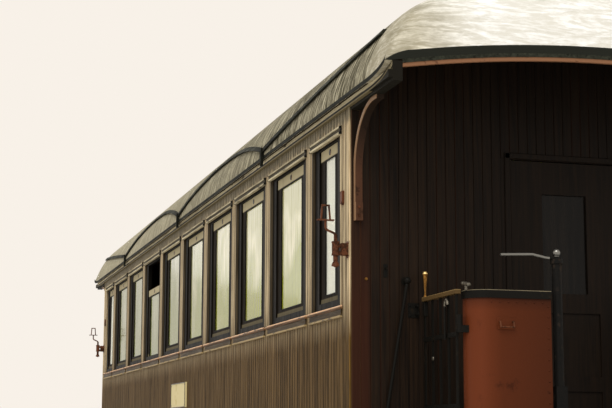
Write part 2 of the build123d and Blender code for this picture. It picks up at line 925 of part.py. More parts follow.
def make_draw_gear():
    x = half_roof
    z = coupling_z
    bite_x = x + hook_bite_x
    bite_z = z + hook_bite_lift
    pin_x = x + shackle_x
    pin_z = z - shackle_drop
    width = 2 * hook_half_width
    hook = joined([
        block(x, x + (hook_bite_x + shackle_x) / 2, -hook_half_width, hook_half_width,
              z - hook_shank_half, z + hook_shank_half),
        block(x, x + hook_plate, -hook_plate_half, hook_plate_half,
              z - hook_plate_half_height, z + hook_plate_half_height),
        Pos(bite_x, 0, z) * Rot(90, 0, 0) * Cylinder(hook_outer_radius, width),
    ])
    hook = hook - Pos(bite_x, 0, bite_z) * Rot(90, 0, 0) * Cylinder(hook_bite_radius, width + overcut)
    hook = hook - block(x + hook_mouth_x, bite_x + hook_bite_radius, -hook_half_width - overcut,
                        hook_half_width + overcut, bite_z, z + hook_outer_radius + overcut)
    bore = shackle_pin_radius + shackle_pin_gap
    hook = hook - lying_y(pin_x, -shackle_outer_y, shackle_outer_y, pin_z, bore)
    save("drawhooks", *both_ends(hook))
    cheek = block(pin_x - shackle_half, pin_x + shackle_half, shackle_inner_y, shackle_outer_y,
                  z - upper_trunnion_drop, z + shackle_half)
    bow = block(pin_x - bow_half, pin_x + bow_half, shackle_outer_y, bow_outer_y,
                z - bow_drop, z - lower_trunnion_drop + shackle_half)
    coupling = joined([
        lying_y(pin_x, -shackle_outer_y - trunnion_radius / 2, shackle_outer_y + trunnion_radius / 2, pin_z,
                shackle_pin_radius),
        *both_sides(cheek),
        lying_y(pin_x, -trunnion_half, trunnion_half, z - upper_trunnion_drop, trunnion_radius),
        upright(pin_x, 0, z - screw_end, z - upper_trunnion_drop, screw_radius),
        lying_y(pin_x, -trunnion_half, trunnion_half, z - lower_trunnion_drop, trunnion_radius),
        *both_sides(bow),
        lying_y(pin_x, -bow_outer_y, bow_outer_y, z - bow_drop, shackle_pin_radius),
    ])
    save("screw_couplings", *both_ends(coupling))


def make_steps():
    inner_x = half_body + step_inner
    outer_x = half_roof - headstock - moving_gap
    solid = joined([
        block(inner_x, outer_x, solebar_outer + step_gap, half_width - step_set_in, top - step_thick, top)
        for top in step_tops
    ])
    for x in (inner_x, outer_x - step_cheek):
        solid = solid + block(x, x + step_cheek, solebar_outer, solebar_outer + step_cheek_width,
                              step_cheek_foot, floor_bottom)
        for top in step_tops:
            under = top - step_thick
            solid = solid + block(x, x + step_cheek, solebar_outer, half_width - step_arm_set_in,
                                  under - step_arm, under)
    save("steps", *four_corners(solid))


def dash_path(inset, x_back):
    front = dash_x - inset
    side_y = dash_y - inset
    radius = dash_radius - inset
    return [
        Edge.make_line((x_back, side_y, 0), (front - radius, side_y, 0)),
        Edge.make_tangent_arc((front - radius, side_y, 0), Vector(1, 0, 0), (front, side_y - radius, 0)),
        Edge.make_line((front, side_y - radius, 0), (front, dash_inner_y, 0)),
    ]


def dash_band(outset, width, z0, z1):
    outer = dash_path(-outset, dash_back)
    inner = dash_path(width - outset, dash_back)
    caps = [
        Edge.make_line((dash_back, dash_y + outset, 0), (dash_back, dash_y + outset - width, 0)),
        Edge.make_line((dash_x + outset, dash_inner_y, 0), (dash_x + outset - width, dash_inner_y, 0)),
    ]
    face = Face(Wire(outer + inner + caps))
    return Pos(0, 0, z0) * Solid.extrude(face, Vector(0, 0, z1 - z0))


def make_dashes():
    panel = dash_band(0, dash_sheet, floor_top, dash_top)
    rail = dash_band(rail_proud, rail_width, dash_top, dash_top + rail_height)
    save("dash_panels", *four_corners(panel))
    save("dash_rails", *four_corners(rail))


# A barred side gate, hinged at the dash and latched at the end wall.
def make_gates():
    tip_x = half_body + gate_tip
    bottom = floor_top + gate_lift
    rail_low = gate_top - gate_rail_height
    pitch = (gate_x - tip_x - gate_clear - 3 * gate_bar_half) / (gate_bars - 1)
    pieces = []
    for k in range(gate_bars):
        x = tip_x + gate_bar_half + k * pitch
        pieces.append(block(x - gate_bar_half, x + gate_bar_half, gate_y - gate_bar / 2,
                            gate_y + gate_bar / 2, bottom, rail_low))
    for z in [bottom] + gate_flat_heights:
        pieces.append(block(tip_x, gate_x - gate_clear - gate_bar_half, gate_y - gate_bar, gate_y + gate_bar,
                            z, z + gate_flat))
    pieces.append(block(tip_x, gate_x - gate_clear, gate_y - gate_rail_half, gate_y + gate_rail_half,
                        rail_low, gate_top))
    bore = gate_pin_radius + gate_pin_gap
    fixed = []
    for z in gate_hinge_heights:
        low = z - gate_eye_half
        high = z + gate_eye_half
        eye = upright(gate_x, gate_y, low, high, gate_hinge_radius)
        eye = eye + block(gate_x - gate_clear - 2 * gate_bar_half, gate_x, gate_y - gate_bar / 2,
                          gate_y + gate_bar / 2, low, high)
        pieces.append(eye - upright(gate_x, gate_y, low - overcut, high + overcut, bore))
        socket_top = low - running_gap
        socket_low = socket_top - gate_socket
        foot = block(gate_x - gate_hinge_radius, gate_x + gate_hinge_radius,
                     dash_y - dash_sheet + gate_foot_lap, gate_y, socket_low, socket_top)
        fixed += [
            upright(gate_x, gate_y, socket_low, socket_top, gate_hinge_radius),
            upright(gate_x, gate_y, socket_low, high - overcut, gate_pin_radius),
            foot - dash_band(0, dash_sheet, floor_top, dash_top),
        ]
    gate = joined(pieces)
    for end_name, end in ends:
        for side_name, side in sides:
            save(f"gate_{end_name}_{side_name}", to_side(to_end(gate, end), side))
    save("gate_hinges", *four_corners(joined(fixed)))


def make_hand_bars():
    x = half_body
    start = x + rosette / 2
    out = x + hand_bar_stand
    bar = rod([
        (start, *hand_bar_top), (out, *hand_bar_top), (out, *hand_bar_foot), (start, *hand_bar_foot)
    ], hand_bar_radius, hand_bar_bend)
    for y, z in (hand_bar_top, hand_bar_foot):
        bar = bar + lying_x(x, x + rosette, y, z, rosette_radius)
    save("hand_bars", *four_corners(bar))


def make_brake_columns():
    x = dash_x - column_inset
    cap_top = column_top + column_cap
    knob_z = cap_top + column_neck + column_knob_radius - column_knob_sink
    lever = [(x, column_y + along, column_top + up) for along, up in lever_path]
    column = joined([
        upright(x, column_y, floor_top, column_top, column_radius),
        block(x - column_box_half, x + column_box_half, column_y - column_box_half,
              column_y + column_box_half, floor_top, column_box_top),
        upright(x, column_y, floor_top, floor_top + column_base, column_base_radius),
        upright(x, column_y, column_top, cap_top, column_cap_radius),
        upright(x, column_y, cap_top, cap_top + column_neck, column_neck_radius),
        Pos(x, column_y, knob_z) * Sphere(column_knob_radius),
        rod(lever, lever_radius, lever_bend),
    ])
    near = to_side(column, -1)
    save("brake_columns", near, Rot(0, 0, 180) * near)


def make_lamp_irons():
    x = half_body - lamp_inset
    socket_y = half_width + lamp_socket_y
    blade_y = half_width + lamp_blade_y
    plate_top = lamp_plate_foot + lamp_plate_height
    middle = lamp_plate_foot + lamp_plate_height / 2
    socket_low = middle + lamp_arm_half / 2 - lamp_socket_height / 2
    socket_top = socket_low + lamp_socket_height
    shelf = lamp_plate_foot + lamp_blade_foot - lamp_shelf
    ball_z = socket_low - lamp_tail - lamp_ball_radius / 2
    iron = block(x - lamp_plate_half, x + lamp_plate_half, half_width, half_width + lamp_plate,
                 lamp_plate_foot, plate_top)
    for z in (lamp_plate_foot + lamp_arm_inset, plate_top - lamp_arm_inset):
        iron = iron + block(x - lamp_arm_half, x + lamp_arm_half, half_width, socket_y,
                            z - lamp_arm_half, z + lamp_arm_half)
    stem = socket_top - lamp_rod_lap
    iron = joined([
        iron,
        upright(x, socket_y, socket_low, socket_top, lamp_socket_radius),
        upright(x, socket_y, ball_z, socket_low, lamp_tail_radius),
        Pos(x, socket_y, ball_z) * Sphere(lamp_ball_radius),
        rod([(x, socket_y, stem), (x, socket_y, stem + lamp_rod_rise),
             (x, blade_y, stem + lamp_rod_shelf), (x, blade_y, shelf + lamp_rod_lap / 2)],
            lamp_tail_radius, lamp_rod_bend),
        block(x - lamp_shelf_half_width, x + lamp_shelf_half_width, blade_y - lamp_shelf_half,
              blade_y + lamp_shelf_half, shelf, shelf + lamp_shelf),
        loop_blade(x, blade_y, shelf + lamp_shelf),
    ])
    clip = block(half_body - clip_inset - clip_half, half_body - clip_inset + clip_half, half_width,
                 half_width + clip_thick, clip_foot, clip_foot + clip_height)
    save("lamp_irons", *four_corners(iron), *four_corners(clip))


# The tapered loop that a tail lamp's socket slides down over.
def loop_blade(x, y, foot_z):
    top_z = foot_z + lamp_loop_height
    shapes = []
    for inset, sink in ((0, 0), (lamp_loop_bar, overcut)):
        foot = lamp_loop_foot - inset
        top = lamp_loop_top - inset
        high = top_z - inset
        shapes.append(make_face(Polyline(
            (y - foot, foot_z - sink), (y - top, high), (y + top, high), (y + foot, foot_z - sink),
            (y - foot, foot_z - sink)
        )))
    section = Plane.YZ.offset(x - lamp_loop_half_thick) * (shapes[0] - shapes[1])
    return extrude(section, 2 * lamp_loop_half_thick)


def make_side_boards():
    board = block(-board_half, board_half, half_width, half_width + board_thick,
                  board_foot, board_foot + board_height)
    save("side_boards", *both_sides(board))


# Facing benches back to back down the saloon, with a row against each partition.
def make_benches():
    pitch = bays * bay / (seat_rows - 1)
    outer_y = inside_y - running_gap
    seat_top = floor_top + seat_height
    benches = []
    for k in range(seat_rows):
        x = -bays / 2 * bay + k * pitch
        shift = 0
        turns = [-1, 1]
        if k == 0:
            shift = wall_seat_shift
            turns = [1]
        if k == seat_rows - 1:
            shift = -wall_seat_shift
            turns = [-1]
        back_top = floor_top + back_height
        pieces = [block(x - back_half, x + back_half, aisle_half, outer_y, floor_top, back_top)]
        for turn in turns:
            front = x + turn * seat_depth
            pieces.append(block(x, front, aisle_half, outer_y, seat_top - seat_board, seat_top))
            pieces.append(block(front - turn * seat_leg, front, aisle_half, aisle_half + seat_leg,
                                floor_top, seat_top))
            pieces.append(block(front - turn * seat_leg, front, inside_y - seat_wall_leg, outer_y,
                                floor_top, seat_top))
        benches += both_sides(Pos(shift, 0, 0) * joined(pieces))
    save("benches", *benches)


# Each partition has an open doorway, and a side wall makes a closet beside the end door.
def make_partitions():
    middle_x = bays / 2 * bay + partition_set
    x0 = middle_x - partition_half
    x1 = middle_x + partition_half
    edge = inside_y - running_gap
    whole = block(x0, x1, -inside_y, inside_y, floor_top, eave_z)
    whole = whole + under_roof(x0, x1, soffit, soffit_crown, eave_y - roof_thick)
    screen = whole & block(x0, x1, -edge, edge, floor_top, crown_z)
    screen = screen - block(x0 - overcut, x1 + overcut, -partition_gap_half, partition_gap_half,
                            floor_top - overcut, partition_door_top)
    closet = block(x1, half_body - end_wall, -closet_wall_y - closet_wall / 2,
                   -closet_wall_y + closet_wall / 2, floor_top, partition_door_top)
    save("partitions", screen + closet, Rot(0, 0, 180) * (screen + closet))


# Half of a wheelset's turned outline: (radius, distance out from the middle).
def wheel_outline():
    inner = wheel_gauge_inside / 2
    outer = inner + tyre_width
    flange = tread_radius + flange_height
    rim = tread_radius - rim_depth
    web_inner = inner + tyre_width / 2 - web_width / 2
    web_outer = web_inner + web_width
    hub_inner = inner - hub_inset
    hub_outer = hub_inner + hub_width
    shoulder_at = axlebox_inner_y - axle_shoulder
    return [
        (hub_radius, hub_inner),
        (hub_radius, web_inner - web_dish),
        (rim, web_inner + web_dish / 2),
        (rim, inner),
        (flange - flange_tip, inner),
        (flange, inner + flange_tip),
        (flange - flange_tip / 2, inner + flange_width - flange_tip),
        (tread_radius + tread_fall / 2, inner + flange_width + flange_tip),
        (tread_radius - tread_fall, outer - tread_chamfer),
        (tread_radius - tread_fall - tread_chamfer, outer),
        (rim, outer),
        (rim, web_outer + web_dish / 2),
        (hub_radius, web_outer - web_dish),
        (hub_radius, hub_outer),
        (axle_radius, hub_outer),
        (axle_radius, shoulder_at),
        (journal_radius, shoulder_at),
        (journal_radius, journal_end_y),
        (0, journal_end_y),
    ]


def make_wheelsets():
    half = wheel_outline()
    hub_inner = wheel_gauge_inside / 2 - hub_inset
    points = half + [(0, -journal_end_y)] + [(r, -y) for r, y in reversed(half[:-1])]
    middle = [(axle_radius, -hub_inner), (axle_radius, hub_inner)]
    outline = Polyline(*(points + middle + [points[0]]))
    turned = revolve(Plane.XY * make_face(outline), Axis.Y)
    places = [end * (pivot_x + offset * wheelbase / 2) for _, end in ends for offset in (1, -1)]
    for number, x in enumerate(places, 1):
        save(f"wheelset_{number}", Pos(x, 0, axle_z) * turned)


def frame_plate_profile():
    half = frame_plate_half_length
    cheek = horn_half + horn_cheek
    plate = block(-half, half, 0, frame_plate, frame_plate_waist, frame_plate_top)
    for end in (-1, 1):
        axle = end * wheelbase / 2
        plate = plate + block(axle - cheek, axle + cheek, 0, frame_plate, frame_plate_foot, frame_plate_top)
        plate = plate - block(axle - horn_half, axle + horn_half, -overcut, frame_plate + overcut,
                              frame_plate_foot - overcut, horn_top)
        plate = plate + block(axle - cheek, axle + cheek, 0, frame_plate,
                              frame_plate_foot - horn_keep, frame_plate_foot)
        corner = Rot(0, 45, 0) * Box(plate_end_corner, 3 * frame_plate, plate_end_corner)
        plate = plate - Pos(end * half, 0, frame_plate_waist) * corner
    plate = plate - Pos(0, 0, frame_plate_waist) * Rot(90, 0, 0) * Cylinder(lightening_hole, 3 * frame_plate)
    return Pos(0, frame_plate_y, 0) * plate


def make_bogie_frame():
    pieces = both_sides(frame_plate_profile())
    inner = bolster_half + bolster_gap
    for turn in (-1, 1):
        pieces.append(block(turn * inner, turn * (inner + transom), -frame_plate_y, frame_plate_y,
                            transom_low, transom_high))
        for end in (-1, 1):
            x = end * wheelbase / 2 + turn * spring_half_span
            pieces += both_sides(block(x - hanger_bracket_half, x + hanger_bracket_half,
                                       frame_plate_y + frame_plate, spring_y + spring_width / 2,
                                       hanger_bracket_low, hanger_bracket_high))
    bolster = block(-bolster_half, bolster_half, -bolster_half_length, bolster_half_length,
                    bolster_low, bolster_top)
    length = bolster_half_length
    for slope in both_sides(Pos(0, bolster_flat + length, bolster_top) * Rot(-bolster_tilt, 0, 0)
                            * Box(3 * bolster_half, 2 * length, bolster_half)):
        bolster = bolster - slope
    bolster = bolster + upright(0, 0, centre_height - centre_plate, centre_height, centre_plate_radius)
    bolster = bolster - upright(0, 0, centre_height - centre_socket, centre_height + overcut,
                                centre_pin_radius + running_gap)
    tie = block(-inner, inner, -tie_half, tie_half, tie_low, tie_high)
    return joined(pieces + [bolster + tie])


# One leaf of a spring, curved up towards its ends; a leaf's share is its part of the full span.
def leaf_plate(share):
    half = spring_half_span * share
    rise = spring_camber * share * share
    low = Edge.make_three_point_arc((-half, 0, rise), (0, 0, 0), (half, 0, rise))
    high = Edge.make_three_point_arc((-half, 0, rise + leaf), (0, 0, leaf), (half, 0, rise + leaf))
    tips = [Edge.make_line((x, 0, rise), (x, 0, rise + leaf)) for x in (-half, half)]
    plate = Solid.extrude(Face(Wire([low, high] + tips)), Vector(0, spring_width, 0))
    return Pos(0, spring_y - spring_width / 2, 0) * plate


def make_axlebox(axle):
    half = horn_half - axlebox_clearance
    base = axle_z + axlebox_top
    pieces = [
        block(axle - half, axle + half, axlebox_inner_y, axlebox_outer_y, axle_z - axlebox_half_height, base),
        lying_y(axle, axlebox_outer_y, axlebox_outer_y + axlebox_lid_thick, axle_z, axlebox_lid),
        block(axle - buckle_half, axle + buckle_half, spring_y - spring_width / 2,
              spring_y + spring_width / 2, base, base + leaf * leaves + spring_seat + buckle_cover),
    ]
    for n in range(leaves):
        share = shortest_leaf + (1 - shortest_leaf) * n / (leaves - 1)
        pieces.append(Pos(axle, 0, base + spring_seat + n * leaf) * leaf_plate(share))
    rise = base + spring_seat + (leaves - 1) * leaf + spring_camber
    for turn in (-1, 1):
        x = axle + turn * spring_half_span
        pieces.append(block(x - hanger_half, x + hanger_half, spring_y - hanger_half_width,
                            spring_y + hanger_half_width, rise - spring_eye_lap, hanger_bracket_low))
    bore = lying_y(axle, axlebox_inner_y - overcut, journal_end_y + journal_end_gap, axle_z,
                   journal_radius + running_gap)
    return joined(pieces) - bore


def make_bogies():
    frame = make_bogie_frame()
    boxes = []
    for end in (-1, 1):
        boxes += both_sides(make_axlebox(end * wheelbase / 2))
    for name, end in ends:
        save(f"bogie_frame_{name}", Pos(end * pivot_x, 0, 0) * frame)
        save(f"axleboxes_{name}", *[Pos(end * pivot_x, 0, 0) * box for box in boxes])


# A hinged plate bridges the gap to the next vehicle; its lugs are bolted to the headstock.
def make_fall_plates():
    x = half_roof + plate_hinge_x
    z = floor_top + plate_lift
    low = z - plate_thick / 2
    high = z + plate_thick / 2
    plate = block(x + plate_start, x + plate_length, -plate_half, plate_half, low, high)
    bore = plate_pin_radius + plate_pin_gap
    lugs = []
    for y in (-plate_eye_y, plate_eye_y):
        plate = plate + lying_y(x, y - plate_eye_half, y + plate_eye_half, z, plate_eye_radius)
        plate = plate + block(x, x + plate_tongue, y - plate_eye_half, y + plate_eye_half, low, high)
        plate = plate - lying_y(x, y - plate_eye_half - overcut, y + plate_eye_half + overcut, z, bore)
        for turn in (-1, 1):
            near = y + turn * (plate_eye_half + running_gap)
            far = near + turn * plate_lug
            lug = lying_y(x, near, far, z, plate_eye_radius)
            lug = lug + block(half_roof, x, near, far, z - plate_lug_drop, z)
            if turn < 0:
                lug = lug + lying_y(x, near, y + plate_eye_half, z, plate_pin_radius)
            lugs.append(lug)
    for name, end in ends:
        save(f"fall_plate_{name}", to_end(plate, end))
    far_lugs = [to_end(lug, -1) for lug in lugs]
    save("fall_plate_lugs", *lugs, *far_lugs)


os.makedirs("parts", exist_ok=True)
make_underframe()
make_truss_rods()
make_underfloor_gear()
make_sides()
make_windows()
make_mouldings()
make_end_walls()
make_end_doors()
make_benches()
make_partitions()
make_roof()
make_fascias()
make_rain_strips()
make_roof_vents()
make_knee_brackets()
make_dashes()
make_gates()
make_hand_bars()
make_brake_columns()
make_lamp_irons()
make_side_boards()
make_steps()
make_buffers()
make_draw_gear()
make_wheelsets()
make_bogies()
make_fall_plates()
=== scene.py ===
import random
from math import asin, cos, pi, radians, sin, sqrt

import bmesh
import bpy
from mathutils import Matrix, Vector


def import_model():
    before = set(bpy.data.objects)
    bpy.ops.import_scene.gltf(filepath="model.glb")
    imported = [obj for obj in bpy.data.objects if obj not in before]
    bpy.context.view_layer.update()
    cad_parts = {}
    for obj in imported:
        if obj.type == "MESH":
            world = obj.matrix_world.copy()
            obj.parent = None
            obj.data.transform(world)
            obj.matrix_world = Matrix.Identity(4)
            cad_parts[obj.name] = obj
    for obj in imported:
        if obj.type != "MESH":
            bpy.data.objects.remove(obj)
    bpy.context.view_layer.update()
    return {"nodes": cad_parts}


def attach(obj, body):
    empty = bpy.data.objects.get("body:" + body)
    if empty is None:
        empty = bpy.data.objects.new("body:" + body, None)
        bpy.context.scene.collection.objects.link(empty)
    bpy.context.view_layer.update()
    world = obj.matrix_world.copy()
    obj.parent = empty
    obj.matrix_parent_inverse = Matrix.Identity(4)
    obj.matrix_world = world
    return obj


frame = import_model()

# The studio: a pale floor, a soft even sky and two broad lamps.
# The camera stands beyond the near end, a little over a metre up, and looks back along the coach.
scene = bpy.context.scene
scene.view_settings.view_transform = "Standard"


def place(tree, kind, sockets=None, **settings):
    node = tree.nodes.new("ShaderNode" + kind)
    for name, value in settings.items():
        setattr(node, name, value)
    for name, value in (sockets or {}).items():
        if isinstance(value, bpy.types.NodeSocket):
            tree.links.new(value, node.inputs[name])
        else:
            node.inputs[name].default_value = value
    return node


def tint(red, green, blue):
    linear = [((c / 255 + 0.055) / 1.055) ** 2.4 for c in (red, green, blue)]
    return (*linear, 1)


def math(tree, operation, first, second=0.0):
    return place(tree, "Math", {0: first, 1: second}, operation=operation).outputs[0]


def level(tree, value, low, high, out_low=0.0, out_high=1.0):
    sockets = {"Value": value, "From Min": low, "From Max": high, "To Min": out_low, "To Max": out_high}
    return place(tree, "MapRange", sockets).outputs[0]


def mixed(tree, share, first, second, blend_type="MIX"):
    node = place(tree, "Mix", {0: share, 6: first, 7: second}, data_type="RGBA", blend_type=blend_type)
    return node.outputs[2]


world = bpy.data.worlds.new("studio")
scene.world = world
world.use_nodes = True
air = world.node_tree
air.nodes.clear()
seen = place(air, "LightPath")
shown = math(air, "MAXIMUM", seen.outputs["Is Camera Ray"], seen.outputs["Is Glossy Ray"])
shown = math(air, "MAXIMUM", shown, seen.outputs["Is Transmission Ray"])
light = place(air, "Background", {"Color": (1, 1, 1, 1), "Strength": 0.62})
wall = place(air, "Background", {"Color": tint(248, 241, 232), "Strength": 1.0})
both = place(air, "MixShader", {0: shown, 1: light.outputs[0], 2: wall.outputs[0]})
place(air, "OutputWorld", {"Surface": both.outputs[0]})

for name, turn, tilt, strength, spread in (("key", 152, 48, 1.9, 40), ("fill", 20, 35, 0.45, 60)):
    lamp = bpy.data.lights.new(name, "SUN")
    lamp.energy = strength
    lamp.angle = radians(spread)
    stand = bpy.data.objects.new(name, lamp)
    stand.rotation_euler = (radians(90 - tilt), 0, radians(turn - 90))
    scene.collection.objects.link(stand)

lens = bpy.data.cameras.new("camera")
lens.lens = 85.46
lens.clip_end = 300
camera = bpy.data.objects.new("camera", lens)
eye = Matrix.Translation((13.629, -3.972, 1.452))
heading, lift, roll = radians(74.425), radians(99.026), radians(0.184)
aim = Matrix.Rotation(heading, 4, "Z") @ Matrix.Rotation(lift, 4, "X")
camera.matrix_world = eye @ aim @ Matrix.Rotation(roll, 4, "Z")
scene.collection.objects.link(camera)
scene.camera = camera

bm = bmesh.new()
bmesh.ops.create_grid(bm, x_segments=1, y_segments=1, size=120)
floor_mesh = bpy.data.meshes.new("floor_sheet")
bm.to_mesh(floor_mesh)
bm.free()
floor_sheet = bpy.data.objects.new("floor_sheet", floor_mesh)
scene.collection.objects.link(floor_sheet)
paper = bpy.data.materials.new("pale_floor")
paper.use_nodes = True
paper_shader = paper.node_tree.nodes["Principled BSDF"]
paper_shader.inputs["Base Color"].default_value = tint(226, 222, 215)
paper_shader.inputs["Roughness"].default_value = 0.9
floor_mesh.materials.append(paper)


# Side boards: narrow upright matchboards nailed to the wooden frame, four millimetres proud of it.
# Three cover each post and fifteen each bay, under and over the windows. The posts are paler above the sill,
# and a band of painted shade runs along their edges beside the glass.
bay, bays, end_bay = 1.122, 8, 0.916
post, corner, arris = 0.190, 0.214, 0.03
bays_end = bays / 2 * bay
half_body = bays_end + end_bay
end_inner, end_outer = bays_end + post / 2, half_body - corner
side_face = 1.4
wall_foot, sill_low, drip_top, cornice_z = 1.12, 2.155, 3.338, 3.418
light_middle, light_half = 2.759, 0.532
roof_half, half_roof, nose_turn = half_body + 0.426, half_body + 0.78, radians(80)
eave_z, eave_lift = 3.462, 0.053
beam_foot, beam_end = 3.39, half_roof - 0.004
edge_mark = 2.0
chance = random.Random(7)


def finish(name, **values):
    material = bpy.data.materials.new(name)
    material.use_nodes = True
    tree = material.node_tree
    sockets = tree.nodes["Principled BSDF"].inputs
    sockets["Specular IOR Level"].default_value = 0.07
    for key, value in values.items():
        sockets[key.replace("_", " ")].default_value = value
    return material, tree


def effect(name, inputs, outputs):
    tree = bpy.data.node_groups.new(name, "ShaderNodeTree")
    for kind, sockets in (("INPUT", inputs), ("OUTPUT", outputs)):
        for socket, form in sockets:
            tree.interface.new_socket(socket, in_out=kind, socket_type="NodeSocket" + form)
    return tree, tree.nodes.new("NodeGroupInput").outputs, tree.nodes.new("NodeGroupOutput").inputs


def use(tree, group, **values):
    node = tree.nodes.new("ShaderNodeGroup")
    node.node_tree = group
    for key, value in values.items():
        if isinstance(value, bpy.types.NodeSocket):
            tree.links.new(value, node.inputs[key])
        else:
            node.inputs[key].default_value = value
    return node.outputs


def position(tree):
    return place(tree, "TexCoord").outputs["Object"]


def along(tree, axis):
    return place(tree, "SeparateXYZ", {0: position(tree)}).outputs["XYZ".index(axis)]


def scaled(tree, amounts):
    return place(tree, "VectorMath", {0: position(tree), 1: amounts}, operation="MULTIPLY").outputs[0]


def noise(tree, where, scale, detail, rough, bend=0.0):
    sockets = {"Vector": where, "Scale": scale, "Detail": detail, "Roughness": rough, "Distortion": bend}
    return place(tree, "TexNoise", sockets).outputs[0]


def noisy(tree, scale, detail=4.0, rough=0.55, bend=0.0, stretch=None):
    where = scaled(tree, stretch) if stretch else position(tree)
    return noise(tree, where, scale, detail, rough, bend)


def plus(tree, first, second):
    return math(tree, "ADD", first, second)


def minus(tree, first, second):
    return math(tree, "SUBTRACT", first, second)


def times(tree, first, second):
    return math(tree, "MULTIPLY", first, second)


def past(tree, value, limit):
    return math(tree, "GREATER_THAN", value, limit)


def before(tree, value, limit):
    return math(tree, "LESS_THAN", value, limit)


def off(tree, axis):
    return math(tree, "ABSOLUTE", along(tree, axis))


def apart(tree, value, middle):
    return math(tree, "ABSOLUTE", minus(tree, value, middle))


def own_board(tree):
    return place(tree, "Attribute", attribute_name="board").outputs["Fac"]


def surface(tree, hue, rough=None, height=None, depth=0.0, strength=0.0):
    sockets = tree.nodes["Principled BSDF"].inputs
    tree.links.new(hue, sockets["Base Color"])
    if rough is not None:
        tree.links.new(rough, sockets["Roughness"])
    if height is not None:
        bump = place(tree, "Bump", {"Height": height, "Distance": depth, "Strength": strength})
        tree.links.new(bump.outputs[0], sockets["Normal"])


# Wood grain: long fibres with darker pores, along the direction that is stretched least.
grain, given, out = effect(
    "wood_grain",
    [("Stretch", "Vector"), ("Board", "Float"), ("Pale", "Color"), ("Dark", "Color")],
    [("Color", "Color"), ("Roughness", "Float"), ("Height", "Float")],
)
offsets = enumerate((91.0, 37.0, 53.0))
shift = place(grain, "CombineXYZ", {k: times(grain, given["Board"], step) for k, step in offsets}).outputs[0]
spot = scaled(grain, given["Stretch"])
spot = place(grain, "VectorMath", {0: spot, 1: shift}, operation="ADD").outputs[0]
figure = noise(grain, spot, 1.0, 3.0, 0.5, 1.4)
fibre = noise(grain, spot, 7.0, 6.0, 0.75)
share = plus(grain, times(grain, figure, 0.6), times(grain, fibre, 0.4))
share = level(grain, share, 0.36, 0.62)
grain.links.new(mixed(grain, share, given["Dark"], given["Pale"]), out["Color"])
grain.links.new(level(grain, share, 0, 1, 0.78, 0.55), out["Roughness"])
grain.links.new(fibre, out["Height"])

# Grime that rain has drawn down an upright face in long uneven streaks.
streaks, given, out = effect("rain_streaks", [("Width", "Float"), ("Share", "Float")], [("Mask", "Float")])
ahead = place(streaks, "CombineXYZ", {0: given["Width"], 1: given["Width"], 2: 0.9}).outputs[0]
run = noise(streaks, scaled(streaks, ahead), 1.0, 5.0, 0.7)
patch = noisy(streaks, 1.3, 2.0)
both = plus(streaks, times(streaks, run, 0.75), times(streaks, patch, 0.25))
edge = minus(streaks, 0.72, times(streaks, given["Share"], 0.3))
streaks.links.new(level(streaks, both, edge, plus(streaks, edge, 0.12)), out["Mask"])

# How far a point lies under the roof's edge, which lifts towards each turned-down end.
eaves, _, out = effect("under_eave", [], [("Distance", "Float")])
share = times(eaves, level(eaves, off(eaves, "X"), roof_half, half_roof), sin(nose_turn))
root = minus(eaves, 1.0, math(eaves, "POWER", share, 2.0))
drop = minus(eaves, 1.0, math(eaves, "SQRT", root))
lifted = plus(eaves, eave_z, times(eaves, drop, eave_lift / (1 - cos(nose_turn))))
eaves.links.new(minus(eaves, lifted, along(eaves, "Z")), out["Distance"])


def grained(tree, stretch, board, pale, dark):
    return use(tree, grain, Stretch=stretch, Board=board, Pale=tint(*pale), Dark=tint(*dark))


def edge_lines(tree, hue, pale):
    under = use(tree, eaves)["Distance"]
    hue = mixed(tree, level(tree, under, 0.022, 0.024, 0.0, 1.0), pale, tint(20, 18, 13))
    hue = mixed(tree, past(tree, under, 0.036), hue, tint(112, 100, 72))
    return mixed(tree, past(tree, under, 0.044), hue, tint(30, 27, 20))


side_wood, tree = finish("weathered_boards")
board, height = own_board(tree), along(tree, "Z")
uneven = times(tree, noisy(tree, 1.0, 3.0, stretch=(22, 22, 3)), 0.2)
ragged = plus(tree, height, uneven)
lower = grained(tree, (34, 34, 1.1), board, (128, 96, 44), (44, 30, 12))
posts = grained(tree, (46, 46, 0.9), board, (255, 230, 184), (152, 124, 86))
sodden = level(tree, noisy(tree, 1.0, 4.0, 0.7, stretch=(70, 70, 2.4)), 0.52, 0.62, 0.0, 0.6)
posts = mixed(tree, sodden, posts["Color"], tint(92, 74, 46))
frieze = grained(tree, (60, 60, 1.4), board, (164, 150, 120), (84, 73, 53))
hue = mixed(tree, level(tree, ragged, 2.12, 2.46), lower["Color"], posts)
hue = mixed(tree, level(tree, ragged, 3.42, 3.46), hue, frieze["Color"])
warm = math(tree, "FRACT", times(tree, board, 29.0))
hue = mixed(tree, level(tree, warm, 0.7, 1.0, 0.0, 0.5), hue, tint(100, 56, 30))
own = level(tree, math(tree, "FRACT", times(tree, board, 17.0)), 0, 1, 0.64, 1.2)
shade = place(tree, "CombineXYZ", {0: own, 1: own, 2: own}).outputs[0]
hue = mixed(tree, 1.0, hue, shade, "MULTIPLY")
dirt = use(tree, streaks, Width=16.0, Share=0.42)["Mask"]
hue = mixed(tree, times(tree, dirt, 0.5), hue, tint(40, 31, 18))
hue = mixed(tree, past(tree, board, edge_mark - 0.5), hue, tint(34, 27, 18))

# A band of painted shade along the edges of the posts beside the glass, from the sill up to the drip
# moulding.
off_x = off(tree, "X")
from_bay = apart(tree, math(tree, "FRACT", math(tree, "DIVIDE", off_x, bay)), 0.5)
edge = level(tree, from_bay, 0.437, 0.443, 0.85, 0.0)
edge = times(tree, edge, before(tree, off_x, bays_end + 0.112))
beside_light = before(tree, apart(tree, height, light_middle), light_half)
hue = mixed(tree, times(tree, edge, beside_light), hue, tint(34, 28, 19))

